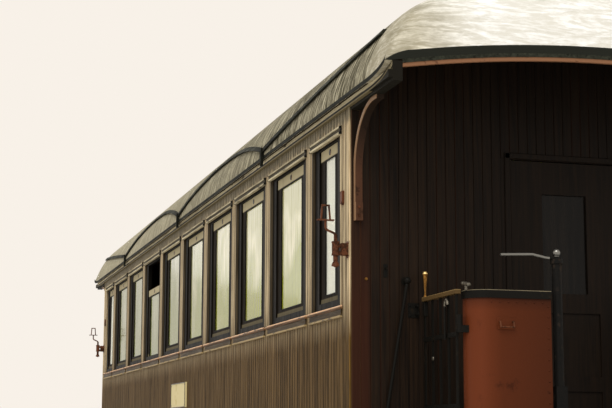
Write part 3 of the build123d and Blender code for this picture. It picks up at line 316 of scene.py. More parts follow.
# The beam that carries the side on past the end wall, under the canopy's edge.
pale_line = grained(tree, (1.5, 50, 50), 0.5, (206, 192, 158), (130, 118, 90))
outer = past(tree, off(tree, "Y"), side_face - 0.001)
beam = mixed(tree, outer, tint(30, 27, 20), edge_lines(tree, hue, pale_line["Color"]))
beam = mixed(tree, past(tree, off_x, beam_end), beam, tint(25, 22, 16))
past_wall = times(tree, past(tree, off_x, half_body + 0.0005), past(tree, height, beam_foot))
hue = mixed(tree, past_wall, hue, beam)
rough = plus(tree, lower["Roughness"], times(tree, dirt, 0.12))
surface(tree, hue, rough, lower["Height"], 0.0012, 0.7)


def dress(material, *nodes):
    for node in nodes:
        for holder in frame["nodes"][node].material_slots:
            holder.material = material


def piece(name, bm, material, body="coach", smooth=None):
    mesh = bpy.data.meshes.new(name)
    bm.to_mesh(mesh)
    bm.free()
    mesh.materials.append(material)
    if smooth:
        mesh.shade_smooth()
        mesh.set_sharp_from_angle(angle=radians(smooth))
    thing = bpy.data.objects.new(name, mesh)
    scene.collection.objects.link(thing)
    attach(thing, body)
    return thing


# Each face of a board carries the board's own tone, and each worn edge the edge mark.
def start():
    bm = bmesh.new()
    bm.faces.layers.float.new("board")
    return bm


def add_board(bm, tone, low, high, bevel=0.0, long_axis=None, edge=None):
    mark = bm.faces.layers.float["board"]
    low, high = [Vector([pick(pair) for pair in zip(low, high)]) for pick in (min, max)]
    made = bmesh.ops.create_cube(bm, size=1)["verts"]
    bmesh.ops.scale(bm, vec=high - low, verts=made)
    bmesh.ops.translate(bm, vec=(low + high) / 2, verts=made)
    faces = {f for v in made for f in v.link_faces}
    if bevel:
        edges = {e for v in made for e in v.link_edges}
        if long_axis is not None:
            edges = {e for e in edges if abs((e.verts[0].co - e.verts[1].co)[long_axis]) > bevel * 3}
        worn_and_lit = bmesh.ops.bevel(
            bm, geom=list(edges), offset=bevel, segments=1, profile=0.5, affect="EDGES", material=-1,
        )["faces"]
        faces = {f for f in faces if f.is_valid} - set(worn_and_lit)
        for face in worn_and_lit:
            face[mark] = tone if edge is None else edge
    for face in faces:
        face[mark] = tone


def side_spans():
    spans = []
    posts_x = [(k - bays / 2) * bay for k in range(bays + 1)]
    for x in posts_x:
        spans.append((x - post / 2, x + post / 2, 3, "post"))
    for x in posts_x[:-1]:
        spans.append((x + post / 2, x + bay - post / 2, 15, "window"))
    for end in (-1, 1):
        spans.append((*sorted((end * end_inner, end * end_outer)), 10, "window"))
        spans.append((*sorted((end * end_outer, end * (half_body - arris))), 3, "post"))
    return spans


joint, sunk, proud = 0.0006, 0.001, 0.004
for side, sign in (("left", -1), ("right", 1)):
    bm = start()
    inner, outer = sign * (side_face - sunk), sign * (side_face + proud)
    for first, last, count, kind in side_spans():
        width = (last - first) / count
        for k in range(count):
            x = first + k * width
            tone = chance.random()
            runs = [(wall_foot, sill_low), (drip_top, cornice_z)]
            if kind == "post":
                runs = [(wall_foot, cornice_z)]
            for low, high in runs:
                add_board(bm, tone, (x + joint, inner, low), (x + width - joint, outer, high),
                          0.0035, 2, edge_mark)
    for end in (-1, 1):
        add_board(bm, 0.0587, (end * (half_body - arris + 0.001), inner, wall_foot),
                  (end * (half_body - 0.0005), sign * (side_face + 0.009), cornice_z), 0.008, 2)
    piece(f"side_boards_{side}", bm, side_wood)
    dress(side_wood, f"side_{side}")


# Window casings and sliding sashes: dark varnished hardwood, set back between the posts.
# Grain runs along the uprights. The sashes' top rails have bleached and a pale line marks their feet.
# One light on the side that shows has been let down.
dropped_light, light_drop = -1.5 * bay, 0.275
top_rail, foot_line = 3.198, 2.291


def blend(tree, share, first, second):
    return place(tree, "Mix", {0: share, 2: first, 3: second}).outputs[0]


frame_wood, tree = finish("dark_varnish", Specular_IOR_Level=0.03)
wood = grained(tree, (40, 40, 1.6), 0.3, (24, 20, 15), (9, 8, 6))
dirt = use(tree, streaks, Width=11.0, Share=0.4)["Mask"]
hue = mixed(tree, times(tree, dirt, 0.3), wood["Color"], tint(44, 37, 27))
rough = level(tree, wood["Roughness"], 0.5, 0.8, 0.35, 0.6)
surface(tree, hue, rough, wood["Height"], 0.001, 0.5)
dress(frame_wood, "window_casings")

sash_wood, tree = finish("sash_varnish", Specular_IOR_Level=0.03)
wood = grained(tree, (30, 30, 1.8), 0.7, (34, 27, 19), (12, 10, 7))
dirt = use(tree, streaks, Width=14.0, Share=0.5)["Mask"]
height = along(tree, "Z")
bleached = level(tree, height, top_rail, top_rail + 0.008, 0.0, 0.8)
low_rail = level(tree, height, top_rail - light_drop, top_rail - light_drop + 0.008, 0.0, 0.8)
dropped = before(tree, apart(tree, along(tree, "X"), dropped_light), 0.45)
dropped = times(tree, dropped, before(tree, along(tree, "Y"), 0.0))
line = level(tree, apart(tree, height, foot_line), 0.012, 0.016, 0.5, 0.0)
hue = mixed(tree, line, wood["Color"], tint(128, 116, 88))
hue = mixed(tree, blend(tree, dropped, bleached, low_rail), hue, tint(192, 178, 142))
hue = mixed(tree, times(tree, dirt, 0.35), hue, tint(30, 25, 17))
surface(tree, hue, wood["Roughness"], wood["Height"], 0.001, 0.5)
dress(sash_wood, "window_sashes")


# Glazing beads: thin strips of the casings' dark wood, pinned round each pane inside the sash.
# They go down with the lowered light.
def window_places():
    places = [((k - bays / 2 + 0.5) * bay, bay - post) for k in range(bays)]
    return places + [(end * (end_inner + end_outer) / 2, end_outer - end_inner) for end in (-1, 1)]


def sash_drop(middle, side):
    return light_drop if side < 0 and abs(middle - dropped_light) < 0.01 else 0.0


bead, pane_inset, pane_top = 0.009, 0.188, 3.202
bm = start()
for side in (-1, 1):
    for middle, width in window_places():
        drop = sash_drop(middle, side)
        half = width / 2 - pane_inset
        low, high = (2.275 if drop else 2.320), pane_top - drop
        near, far = side * (side_face - 0.0335), side * (side_face - 0.0245)
        for x in (middle - half, middle + half - bead):
            add_board(bm, 0.4, (x, near, low), (x + bead, far, high), 0.002, 2)
        for z in (low, high - bead):
            add_board(bm, 0.4, (middle - half, near, z), (middle + half, far, z + bead), 0.002, 0)
piece("glazing_beads", bm, frame_wood)


# Sash pulls: a worn brass rim round a finger hole in the middle of each sash's top rail; the hole is a thin
# disc painted near black as painted shade.
# The same brass makes the gate handles, whose knobs are rubbed bright and carry a painted highlight on their
# upper half.
knob_z, pull_z = 2.43, 3.236


def facing(where, axis):
    return Matrix.Translation(where) @ Vector(axis).to_track_quat("Z", "Y").to_matrix().to_4x4()


def disc(bm, where, axis, radius, height, top=None, segments=16, tone=0.0):
    made = bmesh.ops.create_cone(
        bm, cap_ends=True, segments=segments, radius1=radius, radius2=radius if top is None else top,
        depth=height, matrix=facing(where, axis) @ Matrix.Translation((0, 0, height / 2)),
    )["verts"]
    for face in {f for v in made for f in v.link_faces}:
        face[bm.faces.layers.float["board"]] = tone


brass, tree = finish("worn_brass", Metallic=1.0)
rubbed = level(tree, noisy(tree, 60.0, 5.0, 0.7), 0.4, 0.65)
hue = mixed(tree, rubbed, tint(150, 108, 54), tint(84, 58, 28))
# The knob's upper half is painted pale: rubbed brass with a painted highlight.
rubbed_and_lit_knob = before(tree, apart(tree, along(tree, "Z"), knob_z), 0.026)
hue = mixed(tree, rubbed_and_lit_knob, hue, tint(236, 204, 140))
# Faces marked 1 in the board layer, the finger-hole discs, are painted near black: painted shade in the hole.
hue = mixed(tree, own_board(tree), hue, tint(8, 7, 6))
rough = level(tree, rubbed, 0, 1, 0.35, 0.65)
surface(tree, hue, rough, rubbed, 0.0004, 0.5)

bm = start()
for side in (-1, 1):
    for middle, width in window_places():
        z = pull_z - sash_drop(middle, side)
        disc(bm, (middle, side * (side_face - 0.0245), z), (0, side, 0), 0.0215, 0.0025, 0.0205, 20)
        disc(bm, (middle, side * (side_face - 0.0222), z), (0, side, 0), 0.0195, 0.0006, None, 20, 1.0)
piece("sash_pulls", bm, brass, smooth=40)


# Window glass: panes with dried rain on them, bedded in the sashes, coloured with a painted reflection: green
# towards their feet and the far end, pale sky above.
# The narrow end panes are frosted white. The end doors' panes are painted dark as painted shade.
glass, tree = finish("streaked_glass_with_painted_reflection", Transmission_Weight=0.35, IOR=1.5, Specular_IOR_Level=0.5)
frosted = past(tree, off(tree, "X"), bays_end + 0.012)
dried = noisy(tree, 1.0, 5.0, 0.7, 0.3, (30, 30, 1.2))
reflection_wobble = noisy(tree, 1.0, 2.0, stretch=(2.2, 2.2, 1.4))
height = plus(tree, along(tree, "Z"), level(tree, reflection_wobble, 0.35, 0.65, -0.35, 0.35))
# Painted reflection: green surroundings low in the pane, pale sky higher up, with a wavy edge between.
hue = mixed(tree, level(tree, height, 2.5, 3.0), tint(176, 178, 44), tint(252, 242, 196))
hue = mixed(tree, level(tree, height, 3.1, 3.3, 0.0, 0.5), hue, tint(188, 184, 96))
hue = mixed(tree, level(tree, dried, 0.42, 0.62, 0.0, 0.5), hue, tint(150, 156, 64))
hue = mixed(tree, level(tree, along(tree, "X"), 2.0, -1.0, 0.0, 0.65), hue, tint(100, 112, 38))
speckle = noisy(tree, 260.0, 2.0)
milk = mixed(tree, level(tree, speckle, 0.3, 0.45), tint(206, 198, 158), tint(255, 254, 238))
dull = times(tree, frosted, level(tree, speckle, 0.4, 0.6, 0.35, 0.6))
rough = plus(tree, level(tree, dried, 0.4, 0.7, 0.04, 0.22), dull)
surface(tree, mixed(tree, frosted, hue, milk), rough, times(tree, speckle, frosted), 0.0006, 0.6)
dress(glass, "window_panes")

shaded_door_glass, tree = finish("door_glass_painted_shade", Transmission_Weight=0.15, IOR=1.5)
dried = level(tree, noisy(tree, 1.0, 5.0, 0.7, 0.3, (30, 30, 1.6)), 0.4, 0.7)
# Painted shade: the door panes are near black, standing for the dark inside behind them.
hue = mixed(tree, dried, tint(13, 11, 9), tint(28, 23, 18))
surface(tree, hue, level(tree, dried, 0, 1, 0.12, 0.4))
dress(shaded_door_glass, "door_pane_near", "door_pane_far")


# Drip mouldings over the windows and the cornice under the eaves: pale worn wood with dark grooves.
# One drip moulding is nailed over each window. The cornice is planed in one length and runs the whole side.
groove_z, drip_only = 3.312, 3.4
moulding, tree = finish("worn_moulding")
wood = grained(tree, (1.5, 50, 50), 0.5, (214, 200, 164), (120, 108, 82))
chip = noisy(tree, 1.0, 4.0, stretch=(6, 30, 30))
hue = mixed(tree, level(tree, chip, 0.6, 0.68), wood["Color"], tint(70, 60, 44))
height, off_x = along(tree, "Z"), off(tree, "X")
groove = level(tree, apart(tree, height, groove_z), 0.010, 0.013, 0.9, 0.0)
hue = mixed(tree, groove, hue, tint(36, 31, 22))

# The drip mouldings' ends carry painted shade: how far a point lies from the middle of its own window.
in_bay = times(tree, apart(tree, math(tree, "FRACT", math(tree, "DIVIDE", off_x, bay)), 0.5), bay)
half_light, half_end = (bay - post) / 2, (end_outer - end_inner) / 2
in_end = plus(tree, apart(tree, off_x, (end_inner + end_outer) / 2), half_light - half_end)
from_middle = blend(tree, past(tree, off_x, bays_end + 0.012), in_bay, in_end)
painted_end_shade = times(tree, past(tree, from_middle, half_light + 0.026), before(tree, height, drip_only))
hue = mixed(tree, painted_end_shade, hue, tint(24, 21, 16))
ruled = mixed(tree, past(tree, off(tree, "Y"), side_face), tint(30, 27, 20), edge_lines(tree, hue, hue))
ruled = mixed(tree, past(tree, off_x, beam_end), ruled, tint(25, 22, 16))
hue = mixed(tree, past(tree, height, drip_only), hue, ruled)
surface(tree, hue, wood["Roughness"], wood["Height"], 0.0015, 0.6)
dress(moulding, "drip_mouldings", "cornices")


# Sill rods and the boards under them: round varnished rods in copper brown, with a painted highlight along
# their tops.
# They are screwed to the side under each window, over a plain dark board with a pale lower lip.
lip_top, rod_foot, rod_crown = 2.1665, 2.202, 2.212
sill_wood, tree = finish("copper_brown_varnish", Specular_IOR_Level=0.03)
height = along(tree, "Z")
wood = grained(tree, (1.2, 46, 46), 0.1, (128, 92, 62), (52, 36, 22))
plain = grained(tree, (1.2, 46, 46), 0.4, (84, 66, 38), (32, 24, 13))
pale_lip = mixed(tree, before(tree, height, lip_top), plain["Color"], tint(160, 138, 98))
# The rods' tops are painted pale: a painted highlight.
worn_and_lit = mixed(tree, level(tree, height, rod_crown, rod_crown + 0.012), wood["Color"], tint(236, 190, 146))
hue = mixed(tree, level(tree, height, rod_foot, rod_foot + 0.002), pale_lip, worn_and_lit)
chip = noisy(tree, 1.0, 4.0, stretch=(9, 60, 60))
hue = mixed(tree, level(tree, chip, 0.55, 0.65), hue, tint(78, 66, 50))
rough = level(tree, wood["Roughness"], 0.5, 0.8, 0.3, 0.5)
surface(tree, hue, rough, wood["Height"], 0.001, 0.5)
dress(sill_wood, "sill_bars")


# Roof: canvas laid in paint over boards. It has slackened into creases that run down over the shoulders.
# The turned-down ends were painted white and have stayed paler; the boards underneath are dark.
creases, given, out = effect(
    "canvas_creases",
    [("Along", "Vector")],
    [("Height", "Float"), ("Shade", "Float")],
)
spot = scaled(creases, given["Along"])
fold = apart(creases, noise(creases, spot, 1.0, 4.0, 0.6, 0.9), 0.5)
fold = level(creases, fold, 0.0, 0.12)
fine = level(creases, noise(creases, spot, 5.5, 5.0, 0.7, 0.2), 0.3, 0.7)
both = plus(creases, times(creases, fold, 0.35), times(creases, fine, 0.65))
creases.links.new(both, out["Height"])
creases.links.new(level(creases, both, 0.35, 0.8), out["Shade"])


# How far a point lies outside an arc of the roof's section.
def outside_arc(tree, across, centre_y, centre_z, radius):
    out = math(tree, "POWER", minus(tree, across, centre_y), 2.0)
    up = math(tree, "POWER", minus(tree, along(tree, "Z"), centre_z), 2.0)
    return minus(tree, math(tree, "SQRT", plus(tree, out, up)), radius)


shoulder_y, skin = 0.98, 0.008
crown_arc, side_arc = (0.0, 0.5255, 3.6245), (0.8064, 3.3971, 0.6419)
roof_canvas, tree = finish("grey_canvas", Roughness=0.85)
crease = use(tree, creases, Along=(13, 1.6, 1.9))
hue = mixed(tree, crease["Shade"], tint(80, 74, 55), tint(202, 192, 162))
hue = mixed(tree, level(tree, noisy(tree, 0.8, 3.0), 0.45, 0.65, 0.0, 0.5), hue, tint(116, 108, 88))
hue = mixed(tree, level(tree, along(tree, "X"), 4.5, -3.0, 0.0, 0.6), hue, tint(190, 180, 152))
across = off(tree, "Y")
over_crown = outside_arc(tree, across, *crown_arc)
over_side = outside_arc(tree, across, *side_arc)
outside = blend(tree, past(tree, across, shoulder_y), over_crown, over_side)
boarded = grained(tree, (1.3, 24, 24), 0.2, (64, 52, 38), (30, 24, 19))
hue = mixed(tree, before(tree, outside, -skin), hue, boarded["Color"])
surface(tree, hue, None, crease["Height"], 0.012, 0.9)
dress(roof_canvas, "roof")

dome_canvas, tree = finish("white_canvas", Roughness=0.8)
crease = use(tree, creases, Along=(5, 2.0, 12))
hue = mixed(tree, crease["Shade"], tint(222, 217, 204), tint(250, 248, 242))
# Painted shade: the dome darkens towards its sides, where it turns away from the light, with dark streaks
# over it.
dome_side_shade = level(tree, off(tree, "Y"), 0.85, 1.25, 0.0, 0.75)
hue = mixed(tree, dome_side_shade, hue, mixed(tree, crease["Shade"], tint(158, 146, 114), tint(222, 211, 182)))
streaks_and_side_shade = noisy(tree, 1.0, 5.0, 0.65, stretch=(5, 3, 7))
streaks_and_side_shade = plus(tree, streaks_and_side_shade, level(tree, off(tree, "Y"), 0.75, 1.4, -0.2, 0.16))
hue = mixed(tree, level(tree, streaks_and_side_shade, 0.42, 0.75, 0.0, 0.8), hue, tint(132, 124, 100))
lip = past(tree, off(tree, "X"), half_roof - 0.0014)
hue = mixed(tree, lip, hue, tint(34, 35, 29))
surface(tree, hue, None, crease["Height"], 0.003, 0.5)
dress(dome_canvas, "roof_ends")


# Canopy ceilings: narrow dark boards nailed under the roof's hoops, from the end wall to the lip.
# Each ceiling is one thin sheet bent to the underside of the turned-down end, toned board by board.
shell = 0.038
shoulder_z, crown_z = 4.015, 4.15
shoulder_out, shoulder_drop, crown_drop = 0.32, 0.443, 0.476


def nose_angle(x):
    share = min(max((abs(x) - roof_half) / (half_roof - roof_half), 0.0), 1.0)
    return asin(share * sin(nose_turn))


def nose(turn):
    drop = (1 - cos(turn)) / (1 - cos(nose_turn))
    shoulder = (shoulder_y + shoulder_out * drop, shoulder_z - shoulder_drop * drop)
    return shoulder, crown_z - crown_drop * drop, eave_z + eave_lift * drop


def arch_height(y, shoulder, crown, eave, low):
    half, high = shoulder
    rise = crown - high
    radius = (half * half + rise * rise) / (2 * rise)
    y = abs(y)
    if y <= half:
        return crown - radius + sqrt(radius * radius - y * y)
    slope = asin(half / radius)
    inward = Vector((-sin(slope), -cos(slope)))
    chord = Vector((eave - half, low - high))
    turn = chord.length_squared / (2 * chord.dot(inward))
    centre = Vector((half, high)) + inward * turn
    return centre.y + sqrt(max(turn * turn - (y - centre.x) ** 2, 0.0))


def under_height(x, y):
    (half, high), crown, low = nose(nose_angle(x))
    return arch_height(y, (half - 0.0127, high - shell), crown - shell, side_face + 0.007, low)


def sheet(bm, columns, rows, where, thick, tone=lambda u, v: 0.0):
    made = bmesh.ops.create_grid(bm, x_segments=columns, y_segments=rows, size=0.5)["verts"]
    faces = list({f for v in made for f in v.link_faces})
    for face in faces:
        middle = face.calc_center_median()
        face[bm.faces.layers.float["board"]] = tone(middle.x + 0.5, middle.y + 0.5)
    for vert in made:
        vert.co = where(vert.co.x + 0.5, vert.co.y + 0.5)
    bmesh.ops.solidify(bm, geom=faces, thickness=thick)
    bmesh.ops.recalc_face_normals(bm, faces=bm.faces)


end_wood, tree = finish("dark_end_boards")
board = own_board(tree)
wood = grained(tree, (34, 34, 1.1), board, (40, 28, 18), (16, 12, 9))
own = math(tree, "FRACT", times(tree, board, 13.0))
hue = mixed(tree, level(tree, own, 0.5, 1.0, 0.0, 0.65), wood["Color"], tint(58, 29, 15))
off_y = off(tree, "Y")
beside = level(tree, off_y, 1.27, 1.30, 0.0, 0.6)
hue = mixed(tree, times(tree, beside, level(tree, along(tree, "Z"), 3.0, 2.2)), hue, tint(62, 31, 18))
# Painted shadow: the end boards, doors and ceilings darken towards the middle of the end, as in the shadow of
# a coach coupled next to it.
hue = mixed(tree, level(tree, off_y, 1.0, 0.4, 0.0, 0.5), hue, tint(14, 11, 8))
hue = mixed(tree, past(tree, board, edge_mark - 0.5), hue, tint(74, 50, 34))
dirt = use(tree, streaks, Width=20.0, Share=0.5)["Mask"]
hue = mixed(tree, times(tree, dirt, 0.5), hue, tint(14, 12, 9))
rough = level(tree, own, 0, 1, 0.42, 0.62)
surface(tree, hue, rough, wood["Height"], 0.001, 0.6)

end_count = 44
tones = [chance.random() for _ in range(end_count)]
for name, end in (("near", 1), ("far", -1)):
    bm = start()

    def ceiling(u, v):
        x = half_body + 0.002 + u * (half_roof - 0.027 - half_body)
        y = (v - 0.5) * 2.66
        return Vector((end * x, y, under_height(x, y) - 0.004))

    sheet(bm, 14, end_count, ceiling, 0.003 * end, lambda u, v: tones[min(int(v * end_count), end_count - 1)])
    piece(f"canopy_ceiling_{name}", bm, end_wood, smooth=30)


# End boards: upright matchboards nailed over each end wall, cut round the doorway, up to the canopy ceiling.
# The corner strip outside them closes the end of the side wall and is a worn red brown.
# Three flat strips make the casing of the doorway.
end_width, door_half, door_top, platform_z = 2.68, 0.40, 3.156, 1.232
strip_y, strip_half, strip_top = 1.37, 0.029, 3.398
casing_y, casing_half, casing_top, casing_tone = 0.383, 0.018, 3.19, 0.62
for name, end in (("near", 1), ("far", -1)):
    bm = start()
    back, width = end * (half_body - sunk), end_width / end_count
    for k in range(end_count):
        y = -end_width / 2 + k * width
        top = min(under_height(half_body, y), under_height(half_body, y + width)) - 0.012
        foot = door_top if abs(y + width / 2) < door_half else platform_z
        front = end * (half_body + proud)
        add_board(bm, tones[k], (back, y + joint, foot), (front, y + width - joint, top), 0.003, 2)
    front = end * (half_body + 0.005)
    for y in (-strip_y, strip_y):
        low, high = (back, y - strip_half, wall_foot), (front, y + strip_half, strip_top)
        add_board(bm, edge_mark, low, high, 0.004, 2)
    front = end * (half_body + 0.012)
    for y in (-casing_y, casing_y):
        low, high = (back, y - casing_half, 1.23), (front, y + casing_half, casing_top)
        add_board(bm, casing_tone, low, high, 0.004, 2)
    add_board(bm, casing_tone, (back, -0.401, 3.153), (front, 0.401, casing_top), 0.004, 1)
    piece(f"end_boards_{name}", bm, end_wood)
dress(end_wood, "end_walls", "end_door_near", "end_door_far")


# Eave bands: a tarred batten nailed over the canvas edge along both eaves, and up round the turned-down ends.
# The rain strips on the roof and the boards at its lips are tarred too.
tarred, tree = finish("tarred_batten", Specular_IOR_Level=0.03)
wood = grained(tree, (2, 40, 40), 0.9, (56, 57, 47), (24, 24, 19))
low_down = past(tree, off(tree, "Y"), 1.44)
hue = mixed(tree, times(tree, low_down, 0.75), wood["Color"], tint(20, 20, 15))
surface(tree, hue, wood["Roughness"], wood["Height"], 0.002, 0.6)
dress(tarred, "rain_strips", "canopy_fascias")

straight, band_height, band_thick = 0.3, 0.027, 0.004
bm = start()
for side in (-1, 1):
    def band(u, v):
        reach = abs(2 * u - 1)
        if reach <= straight:
            x = reach / straight * roof_half
        else:
            turn = nose_turn * (reach - straight) / (1 - straight)
            x = roof_half + (half_roof - roof_half) * sin(turn) / sin(nose_turn)
        foot = nose(nose_angle(x))[2] - 0.003
        x = x if u > 0.5 else -x
        return Vector((x, side * (1.4455 - 0.004 * v), foot + band_height * v))

    sheet(bm, 40, 1, band, band_thick * side)
piece("eave_bands", bm, tarred, smooth=35)


# Inside: benches and partitions of varnished boards, screwed to the floor.
# They show only as brown shapes through the panes.
inner_wood, tree = finish("inside_varnish")
wood = grained(tree, (12, 12, 1.2), 0.2, (170, 118, 70), (96, 60, 34))
rough = level(tree, wood["Roughness"], 0.5, 0.8, 0.3, 0.5)
surface(tree, wood["Color"], rough, wood["Height"], 0.001, 0.4)
dress(inner_wood, "benches", "partitions")


# Floors and steps: bare planks, grey with wear and nailed to the frame.
# The platforms' planks lie across the coach, one beside another with open joints.
floor_wood, tree = finish("worn_planks")
board = own_board(tree)
wood = grained(tree, (22, 1.4, 22), board, (142, 126, 104), (78, 66, 52))
soil = level(tree, noisy(tree, 3.0, 4.0, 0.6), 0.4, 0.65, 0.0, 0.5)
hue = mixed(tree, soil, wood["Color"], tint(66, 58, 48))
surface(tree, hue, wood["Roughness"], wood["Height"], 0.002, 0.6)
dress(floor_wood, "floor", "platform_floors", "steps")

plank_pitch, plank_width = 0.0965, 0.0945
plank_half, plank_foot, plank_top = 1.099, 1.2275, 1.231
bm = start()
for end in (-1, 1):
    for k in range(8):
        x = half_body + 0.006 + k * plank_pitch
        low = (end * x, -plank_half, plank_foot)
        high = (end * (x + plank_width), plank_half, plank_top)
        add_board(bm, chance.random(), low, high, 0.0015, 1)
piece("platform_planks", bm, floor_wood)


# Underframe, draw gear and platform ironwork: black paint over iron, gone brown where it has chipped.
# Buffers and wheels are bare steel with old grease, and the knees and lamp irons have rusted red.
worn_iron, given, out = effect(
    "worn_paint",
    [("Scale", "Float"), ("Share", "Float"), ("Paint", "Color"), ("Bare", "Color")],
    [("Color", "Color"), ("Roughness", "Float"), ("Height", "Float")],
)
blot = noise(worn_iron, position(worn_iron), given["Scale"], 8.0, 0.7)
limit = minus(worn_iron, 0.75, times(worn_iron, given["Share"], 0.4))
mask = level(worn_iron, blot, limit, plus(worn_iron, limit, 0.05))
grit = noisy(worn_iron, 90.0, 4.0)
hue = mixed(worn_iron, 0.35, given["Paint"], given["Bare"])
hue = mixed(worn_iron, level(worn_iron, grit, 0.3, 0.7, 0.0, 0.5), given["Paint"], hue)
worn_iron.links.new(mixed(worn_iron, mask, hue, given["Bare"]), out["Color"])
worn_iron.links.new(level(worn_iron, mask, 0, 1, 0.45, 0.85), out["Roughness"])
raw = minus(worn_iron, times(worn_iron, grit, 0.3), times(worn_iron, mask, 0.5))
worn_iron.links.new(raw, out["Height"])


def iron(name, paint, bare, scale=7.0, share=0.5, depth=0.0012):
    material, tree = finish(name)
    coat = use(tree, worn_iron, Scale=scale, Share=share, Paint=paint, Bare=bare)
    surface(tree, coat["Color"], coat["Roughness"], coat["Height"], depth, 0.7)
    return material


black_iron = iron("black_iron", tint(30, 30, 29), tint(74, 58, 46), 6.0, 0.5)
dress(
    black_iron, "solebars", "headstocks", "cross_bearers", "truss_rods", "brake_reservoir", "brake_cylinder",
    "battery_box", "drawhooks", "screw_couplings", "fall_plate_lugs", "fall_plate_near", "fall_plate_far",
    "roof_vents", "bogie_frame_near", "bogie_frame_far", "axleboxes_near", "axleboxes_far",
)
platform_iron = iron("platform_iron", tint(17, 16, 13), tint(34, 27, 19), 12.0, 0.4)
dress(platform_iron, "gate_hinges", "hand_bars")
red_iron = iron("rusty_red_iron", tint(98, 58, 37), tint(60, 37, 24), 14.0, 0.6)
dress(red_iron, "lamp_irons")

knee_iron, tree = finish("knee_iron")
coat = use(tree, worn_iron, Scale=14.0, Share=0.5, Paint=tint(80, 52, 36), Bare=tint(54, 36, 25))
# Painted shade darkens the brackets' upper part under the canopy, and a painted highlight runs along their
# outer edge.
hue = mixed(tree, level(tree, along(tree, "Z"), 3.0, 3.3, 0.0, 0.9), coat["Color"], tint(34, 27, 21))
rim = past(tree, off(tree, "Y"), 1.379)
hue = mixed(tree, times(tree, rim, 0.55), hue, tint(176, 138, 102))
surface(tree, hue, coat["Roughness"], coat["Height"], 0.0012, 0.7)
dress(knee_iron, "knee_brackets")
bead_paint = iron("red_bead", tint(136, 96, 68), tint(104, 70, 50), 20.0, 0.4)
dress(bead_paint, "canopy_beads")
buffer_steel = iron("greased_steel", tint(70, 66, 62), tint(96, 78, 60), 8.0, 0.4)
dress(buffer_steel, "buffers")
wheel_steel = iron("wheel_steel", tint(88, 70, 56), tint(60, 44, 34), 9.0, 0.5)
dress(wheel_steel, "wheelset_1", "wheelset_2", "wheelset_3", "wheelset_4")


# Gates and dash rails: black iron rubbed bare along the top edge by hands, with a painted highlight there.
# The gates' top rails are bars of bare brown brass.
def railing(name, edge_z, foot_z, below, rubbed_and_lit_tone):
    material, tree = finish(name)
    coat = use(tree, worn_iron, Scale=12.0, Share=0.4, Paint=tint(17, 16, 13), Bare=tint(34, 27, 19))
    hue = mixed(tree, level(tree, along(tree, "Z"), foot_z, foot_z + 0.001), coat["Color"], below)
    worn_and_lit = level(tree, noisy(tree, 9.0, 4.0), 0.3, 0.7, 0.35, 1.0)
    # The pale top edge is partly rubbed metal and partly a painted highlight.
    top = times(tree, level(tree, along(tree, "Z"), edge_z, edge_z + 0.002), worn_and_lit)
    hue = mixed(tree, top, hue, rubbed_and_lit_tone)
    rough = level(tree, top, 0, 1, 0.55, 0.32)
    surface(tree, hue, rough, coat["Height"], 0.0008, 0.6)
    return material


gate_iron = railing("gate_iron", 2.260, 2.238, tint(88, 68, 40), tint(150, 124, 82))
dress(gate_iron, "gate_near_left", "gate_near_right", "gate_far_left", "gate_far_right")
rail_iron = railing("dash_rail_iron", 2.2535, 2.30, tint(20, 18, 14), tint(164, 150, 120))
dress(rail_iron, "dash_rails")


# Brake columns: black pipes bolted to the platforms, with a bright worn lever and knob on top.
# Only what hands touch is bright.
pipe_y, lever_z, knob_foot = 0.378, 2.43, 2.462
column_iron, tree = finish("brake_column_iron")
coat = use(tree, worn_iron, Scale=10.0, Share=0.5, Paint=tint(14, 14, 13), Bare=tint(46, 38, 31))
height = along(tree, "Z")
from_pipe = minus(tree, off(tree, "Y"), pipe_y)
handled = times(tree, past(tree, from_pipe, 0.045), past(tree, height, lever_z))
bright = math(tree, "MAXIMUM", handled, past(tree, height, knob_foot))
tree.links.new(times(tree, bright, 0.9), tree.nodes["Principled BSDF"].inputs["Metallic"])
hue = mixed(tree, bright, coat["Color"], tint(128, 126, 120))
surface(tree, hue, blend(tree, bright, coat["Roughness"], 0.28), coat["Height"], 0.0008, 0.6)
dress(column_iron, "brake_columns")


# Gate latches: a brass handle stands on each gate's top rail over its latch, and drops into an iron keeper.
# A steel bolt with a bent handle stands at the gate's outer end. Rivets hold the bars to their rails.
gate_rails = (1.281, 1.613, 2.013)


def at(end, side, out, across, z):
    return end * (half_body + out), side * across, z


def stud(bm, where, axis, radius, height, segments=10):
    matrix = facing(where, axis) @ Matrix.Diagonal((radius, radius, height, 1))
    bmesh.ops.create_uvsphere(bm, u_segments=segments, v_segments=6, radius=1, matrix=matrix)


def bar(bm, points, radius, segments=10):
    points = [Vector(p) for p in points]
    for first, last in zip(points, points[1:]):
        disc(bm, first, last - first, radius, (last - first).length, None, segments)
    for point in points[1:-1]:
        elbow = Matrix.Translation(point)
        bmesh.ops.create_uvsphere(bm, u_segments=segments, v_segments=6, radius=radius, matrix=elbow)


polished, tree = finish("worn_steel", Metallic=0.9)
rubbed = level(tree, noisy(tree, 45.0, 5.0, 0.7), 0.35, 0.65)
hue = mixed(tree, rubbed, tint(124, 118, 106), tint(66, 60, 52))
rough = level(tree, rubbed, 0, 1, 0.25, 0.6)
surface(tree, hue, rough, rubbed, 0.0004, 0.5)

corners = []
for end, where in ((1, "near"), (-1, "far")):
    for side, hand in ((-1, "left"), (1, "right")):
        corners.append((end, side, f"{where}_{hand}"))

